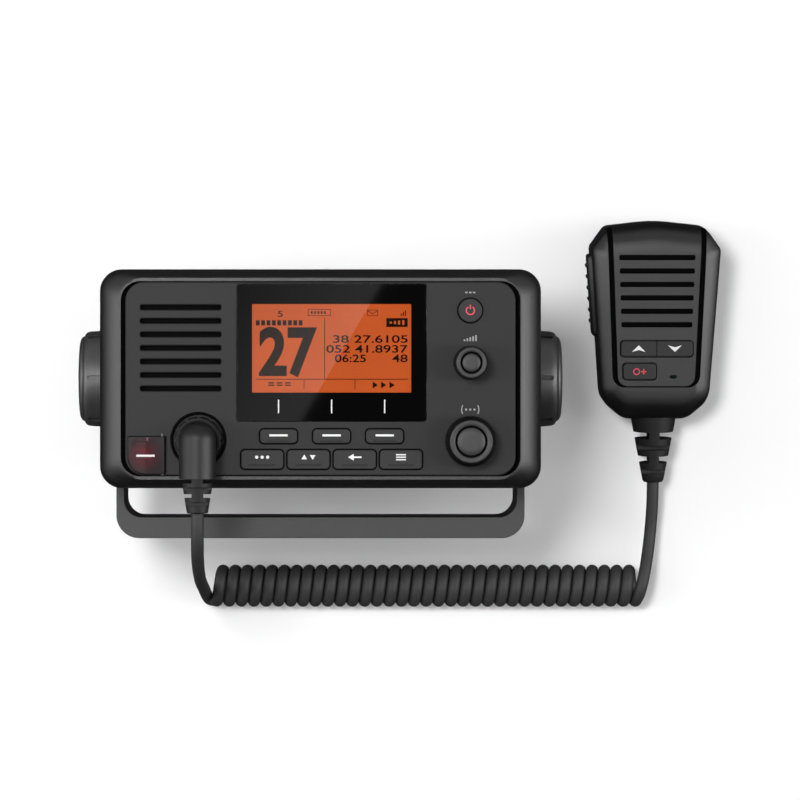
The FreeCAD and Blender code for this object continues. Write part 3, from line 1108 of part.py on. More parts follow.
def mic_front_shell():
    outer = mic_loft(0, MIC_PARTING, MIC_WAIST_INSET, MIC_WAIST)
    outer = outer.fuse(mic_loft(MIC_WAIST_INSET, MIC_WAIST, MIC_FACE_INSET, MIC_DEPTH))
    wall = MIC_WALL
    inner = mic_loft(wall, MIC_PARTING - 0.01, MIC_WAIST_INSET + wall, MIC_WAIST)
    face_inset = MIC_FACE_INSET + wall - 1.0
    inner = inner.fuse(mic_loft(MIC_WAIST_INSET + wall, MIC_WAIST, face_inset, MIC_DEPTH - wall))
    body = outer.cut(inner)
    low = MIC_DEPTH - 2 * wall
    high = MIC_DEPTH + 1
    cuts = [ptt_block(SLIDE_GAP, PTT_ROOM), relief_hole()]
    for index in range(MIC_SLOT_COUNT):
        length = MIC_SLOT_LENGTH - MIC_SLOT_STEP * index
        y = MIC_SLOT_TOP - index * MIC_SLOT_PITCH
        cuts.append(slot_cutter(length, MIC_SLOT_WIDTH, MIC_SLOT_RIM, low, MIC_DEPTH, 0, y))
    cuts.append(slab(ROCKER_WIDTH + 2 * KEY_GAP, ROCKER_HEIGHT + 2 * KEY_GAP, KEY_RADIUS + KEY_GAP,
                     low, high, 0, ROCKER_Y))
    cuts.append(slab(LOW_KEY_WIDTH + 2 * KEY_GAP, LOW_KEY_HEIGHT + 2 * KEY_GAP, KEY_RADIUS + KEY_GAP,
                     low, high, LOW_KEY_X, LOW_KEY_Y))
    cuts.append(slab(VOICE_HOLE_WIDTH, VOICE_HOLE_HEIGHT, 0.6, low, high, VOICE_HOLE_X, VOICE_HOLE_Y))
    for cut in cuts:
        body = body.cut(cut)
    return body


def mic_back_shell():
    outer = mic_loft(MIC_BACK_INSET, 0, MIC_EDGE_INSET, MIC_BACK_EDGE)
    outer = outer.fuse(mic_loft(MIC_EDGE_INSET, MIC_BACK_EDGE, 0, MIC_PARTING))
    wall = MIC_WALL
    inner = mic_loft(MIC_EDGE_INSET + wall, wall, wall, MIC_PARTING + 0.01)
    body = outer.cut(inner)
    posts = [disc(MIC_POST_RADIUS, wall - 0.5, MIC_BOARD_Z, x, y) for x, y in MIC_SCREWS]
    posts.append(disc(2 * STUD_SHANK_RADIUS, wall - 0.5, MIC_BOARD_Z, 0, STUD_Y))
    body = join([body] + posts)
    cuts = [ptt_block(SLIDE_GAP, PTT_ROOM), relief_hole()]
    cuts.append(disc(STUD_SHANK_RADIUS, -1, STUD_SHANK_LENGTH + 0.5, 0, STUD_Y))
    for x, y in MIC_SCREWS:
        cuts.append(disc(SCREW_RADIUS, -1, MIC_BOARD_Z + 1, x, y))
        cuts.append(disc(SCREW_HEAD_RADIUS + FIT_GAP, -1, SCREW_HEAD_HEIGHT, x, y))
    for cut in cuts:
        body = body.cut(cut)
    return body


def mic_board():
    low = MIC_BOARD_Z
    top = low + BOARD_THICKNESS
    board = slab(MIC_BOARD_WIDTH, MIC_BOARD_HEIGHT, 2.0, low, top, 1.0, 1.0)
    for x, y in MIC_SCREWS:
        board = board.cut(disc(SCREW_RADIUS, low - 1, top + 1, x, y))
    switch = slab(4.0, 8.0, 0.4, top, top + 5.0, 3.6 - MIC_BOARD_WIDTH / 2, PTT_Y)
    capsule = disc(3.0, top, MIC_DEPTH - MIC_WALL - SLIDE_GAP, VOICE_HOLE_X, VOICE_HOLE_Y)
    post_top = KEY_CAP_BACK - MIC_KEY_TRAVEL - KEY_GAP
    posts = [slab(3.0, 3.0, 0.4, top, post_top, side * ROCKER_WIDTH / 4, ROCKER_Y)
             for side in (-1, 1)]
    posts.append(slab(3.0, 3.0, 0.4, top, post_top, LOW_KEY_X, LOW_KEY_Y))
    return join([board, switch, capsule] + posts)


def mic_speaker():
    front = MIC_DEPTH - MIC_WALL
    y = MIC_SLOT_TOP - MIC_SLOT_PITCH * (MIC_SLOT_COUNT - 1) / 2
    rim_back = front - 3.0
    magnet_front = front - MIC_SPEAKER_DEPTH + 2.0
    rim = disc(MIC_SPEAKER_RADIUS, rim_back, front, 0, y)
    rim = rim.cut(disc(MIC_SPEAKER_RADIUS - 2, front - 1.5, front, 0, y))
    depth = rim_back - magnet_front
    basket = Part.makeCone(MIC_MAGNET_RADIUS, MIC_SPEAKER_RADIUS, depth, V(0, y, magnet_front))
    magnet = disc(MIC_MAGNET_RADIUS, front - MIC_SPEAKER_DEPTH, magnet_front, 0, y)
    return join([rim, basket, magnet])


def mic_screws():
    screws = []
    for x, y in MIC_SCREWS:
        face = FLUSH_DEPTH
        head = disc(SCREW_HEAD_RADIUS, face, SCREW_HEAD_HEIGHT, x, y)
        head = head.cut(disc(SCREW_DRIVE_RADIUS, face, SCREW_HEAD_HEIGHT - SCREW_DRIVE_FLOOR, x, y))
        screws.append(head.fuse(disc(SCREW_RADIUS, SCREW_HEAD_HEIGHT, MIC_BOARD_Z + BOARD_THICKNESS, x, y)))
    return Part.makeCompound(screws)


def mic_key(width, height, x, y):
    """Key in the microphone's face with the flange that holds it behind the shell."""
    cap = slab(width, height, KEY_RADIUS, KEY_CAP_BACK, KEY_CAP_TOP, x, y)
    cap = cap.makeFillet(KEY_CROWN, flat_edges(cap, KEY_CAP_TOP))
    grow = KEY_FLANGE - FIT_GAP
    flange_top = KEY_CAP_BACK + MIC_FLANGE_THICKNESS
    flange = slab(width + 2 * grow, height + 2 * grow, KEY_RADIUS, KEY_CAP_BACK, flange_top, x, y)
    return cap.fuse(flange).removeSplitter()


def rocker_half(side):
    """Left or right half of the rocker pair."""
    whole = mic_key(ROCKER_WIDTH, ROCKER_HEIGHT, 0, ROCKER_Y)
    centre = side * (ROCKER_SPLIT / 2 + ROCKER_WIDTH)
    return whole.common(slab(2 * ROCKER_WIDTH, 4 * ROCKER_HEIGHT, 0.1, 0, 2 * MIC_DEPTH, centre, ROCKER_Y))


def ptt_button():
    return ptt_block(0, 0)


def hanger_stud():
    head = disc(STUD_HEAD_RADIUS, -STUD_HEIGHT, STUD_HEAD_THICKNESS - STUD_HEIGHT, 0, STUD_Y)
    neck = disc(STUD_NECK_RADIUS, STUD_HEAD_THICKNESS - STUD_HEIGHT, 0, 0, STUD_Y)
    return join([head, neck, disc(STUD_SHANK_RADIUS, 0, STUD_SHANK_LENGTH, 0, STUD_Y)])


def mic_strain_relief():
    place = FreeCAD.Placement(V(0, MIC_BOTTOM_Y, MIC_RELIEF_Z), FreeCAD.Rotation())
    sleeve = ribbed_relief(MIC_RELIEF_LENGTH, MIC_RELIEF_START, MIC_RELIEF_END, RELIEF_RINGS, place)
    return sleeve.fuse(relief_neck())


# ---- curly cord ----
MIC_CORD_EXIT = MIC_PLACE.multVec(V(0, MIC_BOTTOM_Y - MIC_RELIEF_LENGTH, MIC_RELIEF_Z)) - V(RADIO_X, RADIO_Y, 0)
LEAD_RADIO_ROUTE = [
    V(SOCKET_X, PLUG_RELIEF_TIP, ELBOW_Z),
    V(SOCKET_X, PLUG_RELIEF_TIP - 11.0, ELBOW_Z),
    V(SOCKET_X - 0.3, PLUG_RELIEF_TIP - 20.35, ELBOW_Z - 8.8),
    V(SOCKET_X - 0.9, COIL_Y + 8.5, ELBOW_Z - 22.8),
    V(SOCKET_X - 1.6, COIL_Y + 6.5, ELBOW_Z - 48.8),
    V(SOCKET_X - 2.6, COIL_Y + 7.0, 62.0),
    V(SOCKET_X - 4.1, COIL_Y + 8.5, 36.0),
    V(SOCKET_X - 5.3, COIL_Y + 9.5, 20.0),
    V(SOCKET_X - 6.1, COIL_Y + 7.0, 9.0),
    V(SOCKET_X - 4.5, COIL_Y + 0.9, 3.6),
    V(COIL_START - 7.2, COIL_Y - 2.9, 4.4),
    V(COIL_START, COIL_Y, 7.0),
]
LEAD_MIC_ROUTE = [
    MIC_CORD_EXIT,
    MIC_CORD_EXIT + V(0, -8.0 * math.cos(MIC_TILT), -8.0 * math.sin(MIC_TILT)),
    V(MIC_FROM_RADIO_X - 0.4, MIC_CORD_EXIT.y - 17.2, 8.6),
    V(MIC_FROM_RADIO_X - 1.2, MIC_CORD_EXIT.y - 26.2, 7.6),
    V(MIC_FROM_RADIO_X - 2.6, COIL_Y + 8.5, 9.2),
    V(MIC_FROM_RADIO_X - 5.0, COIL_Y + 1.9, 11.0),
    V(COIL_END, COIL_Y, 11.5),
]


def cord_tube(name, route):
    """Round tube along straight runs joined by tangent arcs."""
    edges = []
    start = route[0]
    for index in range(1, len(route) - 1):
        before = route[index] - route[index - 1]
        after = route[index + 1] - route[index]
        half_turn = before.getAngle(after) / 2
        radius = 0.45 * min(before.Length, after.Length) / math.tan(half_turn)
        reach = radius * math.tan(half_turn)
        before.normalize()
        after.normalize()
        entry = route[index] - before * reach
        leave = route[index] + after * reach
        inward = (after - before).normalize()
        middle = route[index] + inward * (radius / math.cos(half_turn) - radius)
        edges.append(Part.LineSegment(start, entry).toShape())
        edges.append(Part.Arc(entry, middle, leave).toShape())
        start = leave
        print(name, "point", index, "radius", round(radius, 1), "turn", round(math.degrees(2 * half_turn), 1))
    edges.append(Part.LineSegment(start, route[-1]).toShape())
    path = Part.Wire(edges)
    direction = route[1] - route[0]
    section = Part.Wire(Part.makeCircle(CORD_DIAMETER / 2, route[0], direction))
    solid = path.makePipeShell([section], True, True)
    expected = math.pi * CORD_DIAMETER ** 2 / 4 * path.Length
    print(name, "length", round(path.Length, 1))
    print(name, "volume", round(solid.Volume, 1), "expected", round(expected, 1))
    return solid


def cord_coil():
    return rod_x(COIL_DIAMETER / 2, COIL_START, COIL_END, COIL_Y, COIL_DIAMETER / 2)


def main():
    os.makedirs("parts", exist_ok=True)
    save_radio("rear_chassis", rear_chassis())
    save_radio("case_gasket", case_gasket())
    save_radio("front_bezel", front_bezel())
    save_radio("case_screws", case_screws())
    save_radio("thread_inserts", thread_inserts())
    save_radio("front_panel", front_panel())
    save_radio("speaker_cloth", speaker_cloth())
    save_radio("speaker_frame", speaker_frame())
    save_radio("speaker_cone", speaker_cone())
    save_radio("display_window", display_window())
    save_radio("lcd_panel", lcd_panel())
    save_radio("front_board", front_board())
    save_radio("keypad_mat", keypad_mat())
    for index, side in enumerate(("left", "middle", "right")):
        key = pressed_key(SOFT_KEY_WIDTH, SOFT_KEY_HEIGHT, soft_key_x(index), SOFT_KEY_Y)
        save_radio("soft_key_" + side, key)
    for index in range(4):
        key = pressed_key(MENU_KEY_WIDTH, MENU_KEY_HEIGHT, menu_key_x(index), MENU_KEY_Y)
        save_radio("menu_key_" + str(index + 1), key)
    save_radio("power_key", power_key())
    save_radio("distress_button", distress_button())
    save_radio("distress_cover", distress_cover())
    save_radio("cover_hinge_pin", cover_hinge_pin())
    controls = (
        ("volume", VOLUME_Y, VOLUME_RADIUS, VOLUME_HEIGHT, VOLUME_GROOVE),
        ("select", SELECT_Y, SELECT_RADIUS, SELECT_HEIGHT, SELECT_GROOVE),
    )
    for name, y, radius, height, groove in controls:
        save_radio(name + "_encoder", encoder(y))
        save_radio(name + "_rotor", encoder_rotor(y))
        save_radio(name + "_shaft", encoder_shaft(y, height))
        save_radio(name + "_knob", control_knob(y, radius, height, groove))
    save_radio("mic_socket", mic_socket())
    save_radio("plug_collar", plug_collar())
    save_radio("mic_plug", mic_plug())
    save_radio("plug_strain_relief", plug_strain_relief())
    save_radio("main_board", main_board())
    save_radio("rf_shield", rf_shield())
    save_radio("power_module", power_module())
    save_radio("board_screws", board_screws())
    save_radio("antenna_socket", antenna_socket())
    save_radio("power_socket", power_socket())
    save_radio("bracket", bracket())
    save_radio("bracket_pads", bracket_pads())
    save_radio("left_clamp_knob", clamp_knob(-1))
    save_radio("right_clamp_knob", clamp_knob(1))
    save_mic("mic_front_shell", mic_front_shell())
    save_mic("mic_back_shell", mic_back_shell())
    save_mic("mic_board", mic_board())
    save_mic("mic_speaker", mic_speaker())
    save_mic("mic_screws", mic_screws())
    save_mic("mic_up_key", rocker_half(-1))
    save_mic("mic_down_key", rocker_half(1))
    save_mic("mic_low_key", mic_key(LOW_KEY_WIDTH, LOW_KEY_HEIGHT, LOW_KEY_X, LOW_KEY_Y))
    save_mic("ptt_button", ptt_button())
    save_mic("hanger_stud", hanger_stud())
    save_mic("mic_strain_relief", mic_strain_relief())
    save_radio("cord_lead_radio", cord_tube("radio lead", LEAD_RADIO_ROUTE))
    save_radio("cord_coil", cord_coil())
    save_radio("cord_lead_mic", cord_tube("mic lead", LEAD_MIC_ROUTE))


main()
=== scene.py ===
import math
import bmesh
import bpy
from mathutils import Matrix, Vector


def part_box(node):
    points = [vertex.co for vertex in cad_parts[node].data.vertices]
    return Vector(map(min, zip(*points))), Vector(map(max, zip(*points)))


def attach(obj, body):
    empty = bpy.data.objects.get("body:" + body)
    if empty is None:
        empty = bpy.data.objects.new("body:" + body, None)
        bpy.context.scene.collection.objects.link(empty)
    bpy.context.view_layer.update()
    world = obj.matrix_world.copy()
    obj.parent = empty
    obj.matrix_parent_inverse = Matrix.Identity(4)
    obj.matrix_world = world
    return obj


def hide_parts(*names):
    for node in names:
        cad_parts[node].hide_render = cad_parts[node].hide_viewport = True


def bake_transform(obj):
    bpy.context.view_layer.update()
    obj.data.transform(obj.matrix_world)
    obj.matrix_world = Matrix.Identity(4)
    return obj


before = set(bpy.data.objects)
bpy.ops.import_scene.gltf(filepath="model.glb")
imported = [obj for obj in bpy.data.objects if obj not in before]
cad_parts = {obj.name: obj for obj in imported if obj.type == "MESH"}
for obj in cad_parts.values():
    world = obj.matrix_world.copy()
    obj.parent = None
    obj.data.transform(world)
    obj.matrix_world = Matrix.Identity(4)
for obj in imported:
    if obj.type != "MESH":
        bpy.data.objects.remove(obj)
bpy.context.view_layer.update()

# Lengths are written in millimetres of two local frames and turned into metres by a place
# function: the radio's frame stands on its centre line, the microphone's on its back face.
MM = 0.001
FULL_TURN = 2 * math.pi

panel_low, panel_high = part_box("front_panel")
RADIO_CENTRE = Vector(((panel_low.x + panel_high.x) / 2, (panel_low.y + panel_high.y) / 2, 0))
PANEL_FACE = panel_high.z / MM

# Keys of the front, each with the X of its middle.
DISPLAY_X = 4.25
SOFT_KEY_PITCH = 20.3
MENU_KEY_PITCH = 17.7
SOFT_KEYS = {"soft_key_left": DISPLAY_X - SOFT_KEY_PITCH, "soft_key_middle": DISPLAY_X,
             "soft_key_right": DISPLAY_X + SOFT_KEY_PITCH}
MENU_KEYS = {f"menu_key_{number}": DISPLAY_X + (number - 2.5) * MENU_KEY_PITCH
             for number in range(1, 5)}

MIC_FROM_RADIO = (137.0, 25.6)
MIC_STUD_HEIGHT = 4.2
MIC_FOOT_TO_STUD = 45.85     # from the back's lower edge to the near side of the stud's head
MIC_FOOT = 37.35             # from the microphone's middle to the back's lower edge
MIC_TILT = math.atan2(MIC_STUD_HEIGHT, MIC_FOOT_TO_STUD)
MIC_LIFT = MIC_FOOT * math.sin(MIC_TILT)


def at_radio(x, y, z):
    return RADIO_CENTRE + Vector((x, y, z)) * MM


MIC_PLACE = (Matrix.Translation(at_radio(*MIC_FROM_RADIO, MIC_LIFT))
             @ Matrix.Rotation(MIC_TILT, 4, "X"))


def at_mic(x, y, z):
    return MIC_PLACE @ (Vector((x, y, z)) * MM)


# ---- nodes and materials ----
BLACK = (0, 0, 0, 1)
WHITE = (1, 1, 1, 1)


def feed(node, inputs):
    """Gives each named or numbered input of a node its value or its link."""
    for name, value in inputs.items():
        if isinstance(value, bpy.types.NodeSocket):
            node.id_data.links.new(value, node.inputs[name])
        else:
            node.inputs[name].default_value = value


def add_node(tree, kind, inputs=None, **settings):
    node = tree.nodes.new("ShaderNode" + kind)
    for name, value in settings.items():
        setattr(node, name, value)
    feed(node, inputs or {})
    return node


def calc(tree, operation, first, second):
    return add_node(tree, "Math", {0: first, 1: second}, operation=operation).outputs[0]


def spread(tree, value, low, high):
    """Takes a value from 0 to 1 to a value from low to high."""
    return add_node(tree, "MapRange", {"Value": value, "To Min": low, "To Max": high}).outputs["Result"]


def scaled(tree, colour, factor):
    return add_node(tree, "VectorMath", {0: colour, "Scale": factor}, operation="SCALE").outputs[0]


def object_place(tree):
    return add_node(tree, "TexCoord").outputs["Object"]


def bumped(tree, height, depth):
    """Normal from a height. Depth is in millimetres."""
    return add_node(tree, "Bump", {"Distance": depth * MM, "Height": height}).outputs["Normal"]


def new_material(name, values):
    """Material with values on its Principled node. Gives the material, its tree and that node."""
    material = bpy.data.materials.new(name)
    material.use_nodes = True
    paint = material.node_tree.nodes["Principled BSDF"]
    feed(paint, values)
    return material, material.node_tree, paint


def new_group(name, inputs, outputs):
    """Node group with its sockets. Gives the tree, the sockets to read and the node to feed."""
    tree = bpy.data.node_groups.new(name, "ShaderNodeTree")
    for way, sockets in (("INPUT", inputs), ("OUTPUT", outputs)):
        for socket, kind in sockets.items():
            tree.interface.new_socket(socket, in_out=way, socket_type="NodeSocket" + kind)
    given = tree.nodes.new("NodeGroupInput").outputs
    return tree, given, tree.nodes.new("NodeGroupOutput")


# ---- camera, studio light and floor ----
CAMERA_HEIGHT = 1.700
LENS = 184.2
SENSOR = 36.0
SHIFT_RIGHT = 0.0994
SHIFT_UP = -0.0266


def make_camera():
    data = bpy.data.cameras.new("studio_camera")
    data.lens = LENS
    data.sensor_width = SENSOR
    data.shift_x = SHIFT_RIGHT
    data.shift_y = SHIFT_UP
    camera = bpy.data.objects.new("studio_camera", data)
    camera.location = (RADIO_CENTRE.x, RADIO_CENTRE.y, CAMERA_HEIGHT)
    bpy.context.collection.objects.link(camera)
    bpy.context.scene.camera = camera


AIM = Vector((0, 0, 0.06))    # the point on the layout that every lamp faces
SIDE_LAMP_X = 1.25
SIDE_LAMP_Z = 0.95
SIDE_LAMP_HEIGHT = 1.3
SOFTBOX_WIDTH = 0.45
STRIP_WIDTH = 0.22
GLASS_PIECES = ("display_window", "window_print")
MIC_FRONT = "mic_front_shell_skin"


def make_softbox(name, place, width, height, watts, gloss_only=False):
    """Area lamp that points at the layout. A gloss strip only shows in shiny surfaces."""
    data = bpy.data.lights.new(name, "AREA")
    data.shape = "RECTANGLE"
    data.size = width
    data.size_y = height
    data.energy = watts
    lamp = bpy.data.objects.new(name, data)
    lamp.location = place
    lamp.rotation_euler = (AIM - Vector(place)).to_track_quat("-Z", "Y").to_euler()
    lamp.visible_diffuse = not gloss_only
    bpy.context.collection.objects.link(lamp)
    return lamp


def side_lamp(name, side, width, watts, gloss_only=False):
    """Upright lamp level with the layout's middle, side -1 left and 1 right."""
    place = (SIDE_LAMP_X * side, 0.0, SIDE_LAMP_Z)
    return make_softbox(name, place, width, SIDE_LAMP_HEIGHT, watts, gloss_only)


def limit_light(lamp, state, *names):
    """Keeps a lamp off some pieces, state EXCLUDE, or on them alone, state INCLUDE."""
    receivers = bpy.data.collections.new(lamp.name + "_receivers")
    lamp.light_linking.receiver_collection = receivers
    for name in names:
        receivers.objects.link(bpy.data.objects[name])
    for entry in receivers.collection_objects:
        entry.light_linking.link_state = state


def make_strips():
    """Keeps the side lamps off the display glass and adds three gloss strips.

    The third strip throws no shadow, so that it reaches the microphone past the radio.
    """
    for name in ("left_softbox", "right_softbox"):
        limit_light(bpy.data.objects[name], "EXCLUDE", *GLASS_PIECES)
    strip = side_lamp("left_strip", -1, STRIP_WIDTH, 23.0, gloss_only=True)
    limit_light(strip, "EXCLUDE", *GLASS_PIECES, MIC_FRONT)
    strip = side_lamp("right_strip", 1, STRIP_WIDTH, 32.0, gloss_only=True)
    limit_light(strip, "EXCLUDE", *GLASS_PIECES)
    strip = side_lamp("microphone_strip", -1, STRIP_WIDTH, 16.0, gloss_only=True)
    strip.data.use_shadow = False
    strip.data.cycles.use_multiple_importance_sampling = False
    limit_light(strip, "INCLUDE", MIC_FRONT)


def seen_in_background(tree):
    """Light Path value that is 1 for camera, glossy and transmission rays."""
    path = add_node(tree, "LightPath").outputs
    seen = calc(tree, "MAXIMUM", path["Is Camera Ray"], path["Is Glossy Ray"])
    return calc(tree, "MAXIMUM", seen, path["Is Transmission Ray"])


WORLD_LIGHT = 0.34


def make_world():
    """Even dim surround that the camera sees as white."""
    world = bpy.data.worlds.new("studio")
    bpy.context.scene.world = world
    world.use_nodes = True
    tree = world.node_tree
    level = spread(tree, seen_in_background(tree), WORLD_LIGHT, 1.0)
    feed(tree.nodes["Background"], {"Color": WHITE, "Strength": level})


def make_sheet(name, corners, values, gloss_only=True):
    """Flat studio sheet with its material, corners in metres. Gloss only hides it from all else."""
    material, tree, paint = new_material(name, values)
    mesh = bpy.data.meshes.new(name)
    mesh.from_pydata(corners, [], [range(len(corners))])
    mesh.materials.append(material)
    sheet = bpy.data.objects.new(name, mesh)
    bpy.context.collection.objects.link(sheet)
    if gloss_only:
        sheet.visible_camera = False
        sheet.visible_diffuse = False
        sheet.visible_shadow = False
        sheet.visible_transmission = False
    return sheet, tree, paint


FLOOR_HALF = 2.4
FLOOR_TONE = 0.90
FLOOR_GLOW = 0.09
FLAG_HALF = 0.52
FLAG_HEIGHT = 0.0004
FLAG_GLOW = 0.015
UNLIT = {"Base Color": BLACK, "Specular IOR Level": 0}


def square(half, z):
    return [(-half, -half, z), (half, -half, z), (half, half, z), (-half, half, z)]


def make_floor():
    """White table, and a black flag just above it that only shows in gloss and darkens steep sides."""
    values = {"Base Color": (FLOOR_TONE, FLOOR_TONE, FLOOR_TONE, 1), "Roughness": 0.9,
              "Specular IOR Level": 0.1, "Emission Color": WHITE}
    _, tree, paint = make_sheet("studio_floor", square(FLOOR_HALF, 0), values, gloss_only=False)
    glow = calc(tree, "MULTIPLY", seen_in_background(tree), FLOOR_GLOW)
    feed(paint, {"Emission Strength": glow})
    make_sheet("table_flag", square(FLAG_HALF, FLAG_HEIGHT),
               {**UNLIT, "Emission Color": WHITE, "Emission Strength": FLAG_GLOW})


def make_reflector(name, corners, near, far, reach):
    """Card that only shows in glossy surfaces, on its front. Its light fades from its first edge."""
    card, tree, paint = make_sheet(name, [Vector(corner) * MM for corner in corners], UNLIT)
    vertices = card.data.vertices
    start = vertices[0].co
    edge = (vertices[-1].co - start).normalized()
    inward = vertices[1].co - start
    inward = (inward - edge * inward.dot(edge)).normalized()
    along = add_node(tree, "VectorMath", {0: object_place(tree), 1: inward}, operation="DOT_PRODUCT")
    begin = start.dot(inward)
    level = add_node(tree, "MapRange", {"Value": along.outputs["Value"], "From Min": begin,
                                        "From Max": begin + reach * MM, "To Min": near, "To Max": far})
    side = add_node(tree, "NewGeometry").outputs["Backfacing"]
    front = calc(tree, "SUBTRACT", 1.0, side)
    feed(paint, {"Emission Color": level.outputs["Result"], "Emission Strength": front, "Alpha": front})
    return card


CARD_REACH = 260.0           # how far the cards run past the glass
CARD_FADE = 110.0
CARD_EDGE_TOP = (66.5, 106.0)
CARD_EDGE_FOOT = (-34.0, -65.0)
FRONT_FLAG = ((-900, -600, 0), (-900, -600, 900), (900, -600, 900), (900, -600, 0))


def make_glass_card(name, reach, near, far):
    """Card level with the camera, cut along the slanting edge that the display glass mirrors."""
    first, second = CARD_EDGE_TOP, CARD_EDGE_FOOT
    if reach < 0:
        first, second = second, first
    outline = [first, (first[0] + reach, first[1]), (second[0] + reach, second[1]), second]
    corners = [(x + RADIO_CENTRE.x / MM, y + RADIO_CENTRE.y / MM, CAMERA_HEIGHT / MM)
               for x, y in outline]
    make_reflector(name, corners, near, far, CARD_FADE).visible_transmission = True


def make_stage():
    bpy.context.scene.view_settings.view_transform = "Standard"
    make_world()
    make_floor()
    make_softbox("key_softbox", (-0.34, 0.24, 1.56), 0.34, 0.34, 15.5)
    side_lamp("left_softbox", -1, SOFTBOX_WIDTH, 5.0)
    side_lamp("right_softbox", 1, SOFTBOX_WIDTH, 4.5)
    make_glass_card("pale_card", -CARD_REACH, 0.60, 0.17)
    make_glass_card("dark_card", CARD_REACH, 0.03, 0.03)
    make_reflector("front_flag", FRONT_FLAG, 0.01, 0.01, 100.0)


# ---- mesh helpers ----
WELD_DISTANCE = 1e-6
PIECE_CREASE = 35.0


def new_mesh(name, shape, weld=False):
    """Mesh from a shape, which is a list of points and a list of faces. Its normals face outward."""
    points, faces = shape
    mesh = bpy.data.meshes.new(name)
    mesh.from_pydata(points, [], faces)
    build = bmesh.new()
    build.from_mesh(mesh)
    if weld:
        bmesh.ops.remove_doubles(build, verts=build.verts, dist=WELD_DISTANCE)
    bmesh.ops.recalc_face_normals(build, faces=build.faces)
    build.to_mesh(mesh)
    build.free()
    return mesh


def smooth(mesh, crease):
    mesh.shade_smooth()
    mesh.set_sharp_from_angle(angle=math.radians(crease))


def add_piece(name, shape, place, material, body, slot, crease=PIECE_CREASE):
    """Makes a piece from a shape in millimetres, welds it, smooths it and rides it on its body."""
    points, faces = shape
    mesh = new_mesh(name, ([place(*point) for point in points], faces), weld=True)
    smooth(mesh, crease)
    mesh.materials.append(material)
    piece = bpy.data.objects.new(name, mesh)
    bpy.context.collection.objects.link(piece)
    if body:
        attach(piece, body)
    return piece


def loft(rings, closed=False):
    """Shape through rings of equal length. A closed loft joins its last ring to its first."""
    count = len(rings[0])
    points = [point for ring in rings for point in ring]
    faces = []
    last = len(rings) if closed else len(rings) - 1
    for index in range(last):
        low = index * count
        high = (index + 1) % len(rings) * count
        for step in range(count):
            following = (step + 1) % count
            faces.append((low + step, low + following, high + following, high + step))
    if not closed:
        faces.append(tuple(range(count)))
        faces.append(tuple(range(len(points) - count, len(points))))
    return points, faces


def round_ring(width, height, radius, z, x=0.0, y=0.0, steps=8):
    """Rounded rectangle in the plane z, as a ring of points."""
    ring = []
    corners = ((1, 1, 0), (-1, 1, 90), (-1, -1, 180), (1, -1, 270))
    for sign_x, sign_y, start in corners:
        middle_x = x + sign_x * (width / 2 - radius)
        middle_y = y + sign_y * (height / 2 - radius)
        for step in range(steps + 1):
            turn = math.radians(start + 90 * step / steps)
            ring.append((middle_x + radius * math.cos(turn), middle_y + radius * math.sin(turn), z))
    return ring


def turns_round(steps):
    return [FULL_TURN * step / steps for step in range(steps)]


def circle_ring(radius, z, x=0.0, y=0.0, steps=48):
    return [(x + radius * math.cos(turn), y + radius * math.sin(turn), z) for turn in turns_round(steps)]


def joined(shapes):
    """Several shapes as one."""
    points = []
    faces = []
    for more_points, more_faces in shapes:
        first = len(points)
        points += more_points
        faces += [tuple(index + first for index in face) for face in more_faces]
    return points, faces


def carve(piece, cutters, crease=PIECE_CREASE, shade_lining=None):
    """Cuts closed shapes in metres out of a piece. A shade lining is the material of the cut faces,
    painted shade in the cut.
    """
    mesh = new_mesh("cutter", joined(cutters))
    tool = bpy.data.objects.new("cutter", mesh)
    bpy.context.collection.objects.link(tool)
    modifier = piece.modifiers.new("cut", "BOOLEAN")
    modifier.operation = "DIFFERENCE"
    modifier.solver = "EXACT"
    modifier.object = tool
    if shade_lining:
        mesh.materials.append(shade_lining)
        modifier.material_mode = "TRANSFER"
    finished = piece.evaluated_get(bpy.context.evaluated_depsgraph_get())
    piece.data = bpy.data.meshes.new_from_object(finished)
    piece.modifiers.clear()
    bpy.data.objects.remove(tool)
    bpy.data.meshes.remove(mesh)
    smooth(piece.data, crease)


def at_height(outline, z):
    return [(*point[:2], z) for point in outline]


def prism(outline, low, high, place):
    """Straight-sided cutter or plate over an outline, in metres."""
    return loft([[place(*point) for point in at_height(outline, z)] for z in (low, high)])


def plates(name, outlines, low, high, place, material, body, slot):
    """Several thin flat shapes in one piece, such as a printed legend."""
    shapes = [loft([at_height(outline, z) for z in (low, high)]) for outline in outlines]
    add_piece(name, joined(shapes), place, material, body, slot)


def bar(x, y, width, height):
    return [(x - width / 2, y - height / 2), (x + width / 2, y - height / 2),
            (x + width / 2, y + height / 2), (x - width / 2, y + height / 2)]


def disc(x, y, radius, steps=20):
    return [point[:2] for point in circle_ring(radius, 0, x, y, steps)]


def arc_band(x, y, radius, width, start, end, steps=16):
    """Band along an arc, from start to end in degrees."""
    turns = [math.radians(start + (end - start) * step / steps) for step in range(steps + 1)]
    sides = []
    for reach in (radius + width / 2, radius - width / 2):
        sides.append([(x + reach * math.cos(turn), y + reach * math.sin(turn)) for turn in turns])
    return sides[0] + sides[1][::-1]


def frame_bars(left, right, low, high, line):
    """Four bars round a box."""
    middle_x = (left + right) / 2
    middle_y = (low + high) / 2
    width = right - left
    return [bar(middle_x, high - line / 2, width, line), bar(middle_x, low + line / 2, width, line),
            bar(left + line / 2, middle_y, line, high - low - 2 * line),
            bar(right - line / 2, middle_y, line, high - low - 2 * line)]


